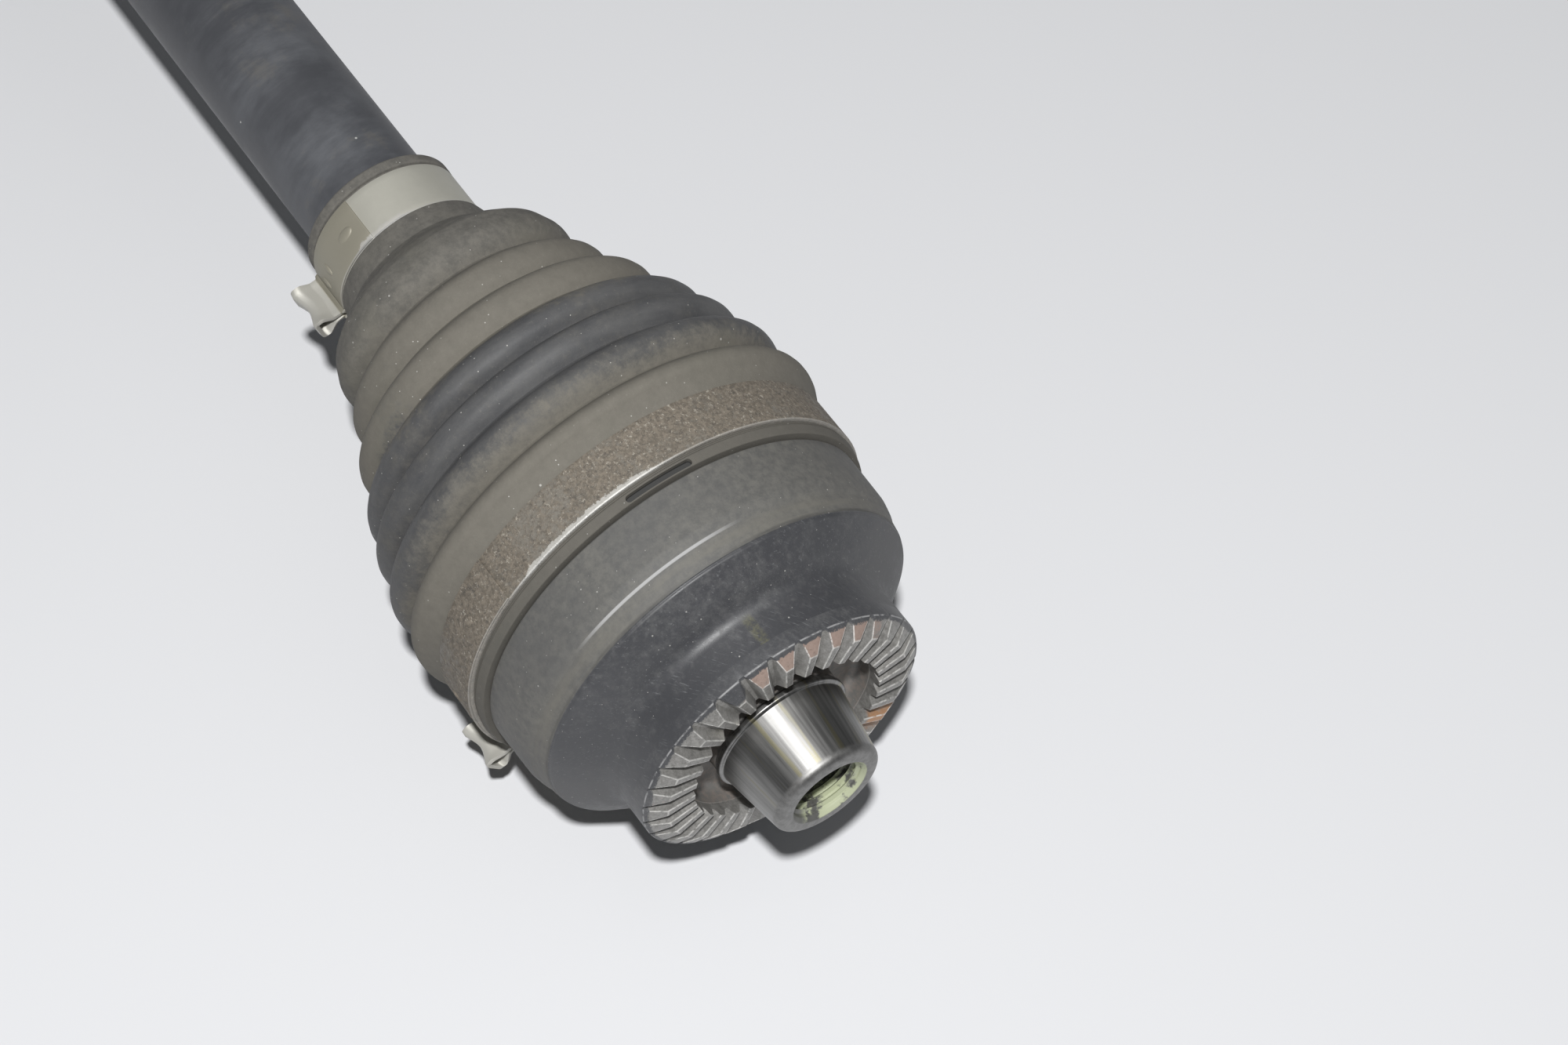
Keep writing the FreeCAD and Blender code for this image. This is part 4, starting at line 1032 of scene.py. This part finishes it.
def tooth_steel():
    """Bare grey steel with bright worn edges, and a painted highlight along the rim's edge. Black paint is
    left at the rim, and the outer facets rust."""
    paint = Finish("face_teeth_bare_steel")
    cloud = paint.noise(9, 5, 0.6)
    fine = paint.noise(0.9, 6, 0.78)
    grain = paint.noise(0.25, 3, 0.7)
    turn = math.radians(TEETH_TURN - 180 / TEETH)
    share = ((paint.angle + turn) * (TEETH / FULL) + 0.5).math("FRACT") - 0.5
    aside = abs(share)
    facet = paint.radius.between(28.0, 28.3)
    crest = TEETH_CREST - (paint.radius - LAND_RADIUS).at_least(0.0) * 0.47
    on_top = (paint.x - crest).between(-0.28, -0.12)
    height_share = 1 - (TEETH_CREST - paint.x) / (paint.radius * (TOOTH_DEPTH / TEETH_RADIUS))
    half = (0.85 - 0.55 * height_share) * 0.5
    edge = (aside - half).between(-0.030, -0.012) * on_top
    ridge = (1 - abs(paint.radius - LAND_RADIUS).between(0.12, 0.28)) * on_top
    wear_and_sheen = paint.noise(1.6, 4, 0.7).between(0.35, 0.55)

    base = paint.mix(fine.between(0.3, 0.7), (0.200, 0.194, 0.182), (0.340, 0.332, 0.315))
    pits = paint.noise(0.6, 5, 0.8).between(0.55, 0.66) * on_top
    base = paint.mix(pits * 0.45, base, (0.120, 0.110, 0.098))
    right = (paint.angle + 0.45).between(0.0, 0.1) * (1 - (paint.angle - 0.55).between(0.0, 0.5))
    rust = (cloud * 0.5 + fine * 0.5 + right * 0.30).between(0.62, 0.80) * facet * on_top
    base = paint.mix(rust * 0.75, base, (0.330, 0.225, 0.180))
    spot = 1 - (abs(paint.angle - 2.16) * 8 + (fine - 0.5) * 0.8).between(0.5, 1.1)
    orange = spot * paint.radius.between(22.5, 24) + (cloud + (fine - 0.5) * 0.5).between(0.74, 0.80)
    base = paint.mix(orange * 0.75, base, (0.46, 0.215, 0.075))
    base = paint.mix(edge * wear_and_sheen * 0.8, base, (0.74, 0.73, 0.70))
    base = paint.mix(ridge * wear_and_sheen * 0.7, base, (0.62, 0.61, 0.58))

    painted = 1 - (abs(paint.angle + 0.421) * 12 + (fine - 0.5) * 1.2).between(0.8, 1.1)
    painted = painted * paint.radius.between(28.3, 29.0)
    rim = (paint.radius + (fine - 0.5) * 2.6 + (cloud - 0.5) * 1.5).between(31.5, 31.8)
    black = black_paint(paint, cloud, fine)[0]
    side = (1 - (paint.x - crest).between(-0.6, -0.3)) * paint.radius.between(32.35, 32.5)
    cover = painted.at_least(rim).at_least(side)
    base = paint.mix(cover, base, black)
    # Painted highlight: a thin light line along the rim's edge between the neck and the facets.
    rim_painted_highlight = paint.radius.between(32.38, 32.46) * paint.x.between(-0.55, -0.35)
    base = paint.mix(rim_painted_highlight * wear_and_sheen * 0.7, base, (0.36, 0.36, 0.36))
    metal = (0.55 - rust * 0.4 - orange * 0.2) * (1 - cover)
    rough = 0.34 + fine * 0.16 + rust * 0.3 + pits * 0.15 + cover * 0.06
    height = fine * 0.3 + grain * 0.2 - pits * 0.4
    return paint.done(
        Base_Color=base, Metallic=metal, Roughness=rough, Normal=paint.bump(height, 0.08)
    )


def plain_finish(name, first, second, metal, rough, size=3.0, depth=0.03):
    """A worked surface of two tones for pieces that little is seen of."""
    paint = Finish(name)
    fine = paint.noise(size, 5, 0.65)
    lines = paint.noise(0.3, 3, 0.6, place=paint.stretched(1.0, 0.3))
    colour = paint.mix(fine.between(0.3, 0.7), first, second)
    return paint.done(
        Base_Color=colour, Metallic=metal, Roughness=rough + fine * 0.15,
        Normal=paint.bump(fine * 0.5 + lines * 0.3, depth),
    )


def housing_finish():
    """Black paint on the gearbox-end housing, bare on its stub."""
    paint = Finish("gearbox_housing_paint_and_bare_stub")
    cloud = paint.noise(22, 6, 0.62)
    fine = paint.noise(1.8, 6, 0.7)
    stub = 1 - paint.x.between(-568.6, -568.2)
    black = paint.mix(cloud, (0.024, 0.025, 0.028), (0.045, 0.046, 0.050))
    dust = (fine * 0.6 + cloud * 0.6).between(0.5, 0.85)
    black = paint.mix(dust * 0.6, black, (0.16, 0.155, 0.14))
    bare = paint.mix(fine.between(0.3, 0.7), (0.42, 0.415, 0.40), (0.66, 0.655, 0.64))
    rust = (cloud + (fine - 0.5) * 0.5).between(0.68, 0.8) * 0.5
    bare = paint.mix(rust, bare, (0.30, 0.19, 0.12))
    colour = paint.mix(stub, black, bare)
    rough = (0.36 + dust * 0.3) * (1 - stub) + (0.26 + fine * 0.12) * stub
    return paint.done(
        Base_Color=colour, Metallic=stub * 0.95, Roughness=rough,
        Normal=paint.bump(fine * 0.4 + paint.noise(0.3, 3, 0.7) * 0.2, 0.05),
    )


def paint_piece(piece, material):
    piece.data.materials.clear()
    piece.data.materials.append(material)


# Assembly


def place_pieces():
    bell = make_bell()
    teeth = make_face_teeth()
    thread = make_thread()
    metal = bell_finish()
    for piece in (bell, teeth, thread):
        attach(piece, "outer_joint")
        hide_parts("outer_joint_housing")
    paint_piece(bell, metal)
    paint_piece(teeth, tooth_steel())
    paint_piece(thread, metal)

    boot = make_outer_boot()
    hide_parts("outer_boot")
    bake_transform(boot)
    paint_piece(boot, boot_rubber("wheel_boot_dusty_rubber", -89, -63))

    near, far = make_inner_boots()
    inner_rubber = boot_rubber("gearbox_boot_dusty_rubber", -470, -445)
    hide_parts("inner_boot")
    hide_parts("inner_boot")
    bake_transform(near)
    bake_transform(far)
    paint_piece(near, inner_rubber)
    paint_piece(far, inner_rubber)

    bar = make_bar()
    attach(bar, "shaft")
    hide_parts("bar_shaft")
    paint_piece(bar, bar_paint())


def place_clamps():
    nowhere = 900
    dull = strap_steel(
        "small_strap_dull_steel", SMALL_SEAT_RADIUS, (0.46, 0.45, 0.395), (0.285, 0.268, 0.215),
        (0.20, 0.175, 0.14), -0.14, -136.75,
    )
    rusty = strap_steel(
        "large_strap_rusty_steel", WHEEL_SEAT_RADIUS, (0.215, 0.200, 0.172), (0.165, 0.152, 0.130),
        (0.120, 0.102, 0.080), 0.14, -40.05,
    )
    plain = strap_steel(
        "gearbox_strap_steel", GEARBOX_SEAT_RADIUS, (0.34, 0.33, 0.30), (0.27, 0.26, 0.23),
        (0.20, 0.16, 0.12), -0.06, nowhere,
    )
    rows = (
        ("wheel_boot_large_clamp", -45.2, 10.8, WHEEL_SEAT_RADIUS, 128, rusty, "outer_joint",
         "outer_boot_large_clamp", "large_clamp_steel"),
        ("wheel_boot_small_clamp", -142.2, 11.6, SMALL_SEAT_RADIUS, 107, dull, "shaft",
         "outer_boot_small_clamp", "small_clamp_steel"),
        ("gearbox_boot_large_clamp", -484.6, 10.8, GEARBOX_SEAT_RADIUS, 232, plain, "inner_joint",
         "inner_boot_large_clamp", "small_clamp_steel"),
        ("gearbox_boot_small_clamp", -421.8, 11.6, SMALL_SEAT_RADIUS, 252, plain, "shaft",
         "inner_boot_small_clamp", "small_clamp_steel"),
    )
    for name, middle, width, radius, turn, steel, body, node, slot in rows:
        clamp = make_clamp(name, middle, width, radius, -turn)
        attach(clamp, body)
        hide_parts(node)
        paint_piece(clamp, steel)


def paint_frame_nodes():
    """Finishes for the CAD pieces that stay as they are."""
    ground = plain_finish("ground_steel", (0.42, 0.42, 0.41), (0.58, 0.58, 0.57), 1.0, 0.24)
    bright = plain_finish("bearing_steel", (0.66, 0.66, 0.66), (0.80, 0.80, 0.80), 1.0, 0.10, 6, 0.01)
    spring = plain_finish("spring_steel", (0.16, 0.15, 0.14), (0.28, 0.27, 0.25), 0.9, 0.34, 2)
    plastic = plain_finish("moulded_insert", (0.05, 0.05, 0.05), (0.09, 0.09, 0.088), 0.0, 0.5, 2)
    housing = housing_finish()
    rows = {
        "outer_joint_inner_race": ground, "outer_joint_cage": ground, "tripod_spider": ground,
        "roller_washers": ground, "outer_joint_balls": bright, "top_roller": bright,
        "front_roller": bright, "back_roller": bright, "needle_rollers": bright,
        "inner_race_circlip": spring, "inner_race_stop_ring": spring, "spider_circlip": spring,
        "spider_stop_ring": spring, "stub_circlip": spring, "roller_snap_rings": spring,
        "boot_adaptor": plastic, "inner_joint_housing": housing,
    }
    for node, material in rows.items():
        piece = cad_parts[node]
        piece.data.materials.clear()
        piece.data.materials.append(material)


# Floor, light and camera


def stage_finish():
    paint = Finish("pale_floor")
    cloud = paint.noise(300, 3, 0.5)
    return paint.done(
        Base_Color=paint.mix(cloud, (0.655, 0.66, 0.675), (0.67, 0.675, 0.69)), Roughness=1.0,
        Specular_IOR_Level=0.0,
    )


def make_stage():
    clear_selection()
    bpy.ops.mesh.primitive_plane_add(size=8, location=(-0.3, 0, cad_box[0].z - 0.0004))
    floor = settle("floor")
    floor.data.materials.append(stage_finish())


def point_at(item, target):
    item.rotation_euler = (target - item.location).to_track_quat("-Z", "Y").to_euler()


def add_light(name, place, target, size, watts):
    light = bpy.data.lights.new(name, "AREA")
    light.shape = "DISK"
    light.size = size
    light.energy = watts
    item = bpy.data.objects.new(name, light)
    bpy.context.scene.collection.objects.link(item)
    item.location = place
    point_at(item, target)
    return item


# The camera's own directions and its place from the frame's origin, in millimetres, from the
# fit of the visible circles.
RIGHT = Vector((0.5723, 0.8195, 0.0341))
UP = Vector((-0.7044, 0.4698, 0.5323))
FORWARD = Vector((-0.4202, 0.3285, -0.8459))
EYE = RIGHT * 0.2 + UP * 41.0 - FORWARD * 642.6


def make_camera():
    lens = bpy.data.cameras.new("photo_view")
    lens.sensor_width = 36
    lens.lens = 75.6
    lens.clip_start = 0.01
    lens.clip_end = 50
    camera = bpy.data.objects.new("photo_view", lens)
    bpy.context.scene.collection.objects.link(camera)
    turn = Matrix((RIGHT, UP, -FORWARD)).transposed().to_4x4()
    turn.translation = EYE * MM
    camera.matrix_world = turn
    bpy.context.scene.camera = camera


def light_scene():
    """A small flash behind and a little above the camera, and a weak soft light overhead."""
    aim = Vector((-0.06, 0, 0))
    flash = EYE * MM - FORWARD * 0.5 + UP * 0.186
    add_light("key", flash, aim, 0.058, 17.2)
    add_light("overhead", Vector((0.3, 0.5, 1.6)), aim, 1.6, 1.2)
    world = bpy.data.worlds.new("soft_room")
    bpy.context.scene.world = world
    world.use_nodes = True
    back = world.node_tree.nodes["Background"]
    back.inputs["Color"].default_value = (0.94, 0.97, 1.0, 1)
    back.inputs["Strength"].default_value = 0.10


bpy.context.scene.view_settings.view_transform = "Standard"
place_pieces()
place_clamps()
paint_frame_nodes()
make_stage()
make_camera()
light_scene()
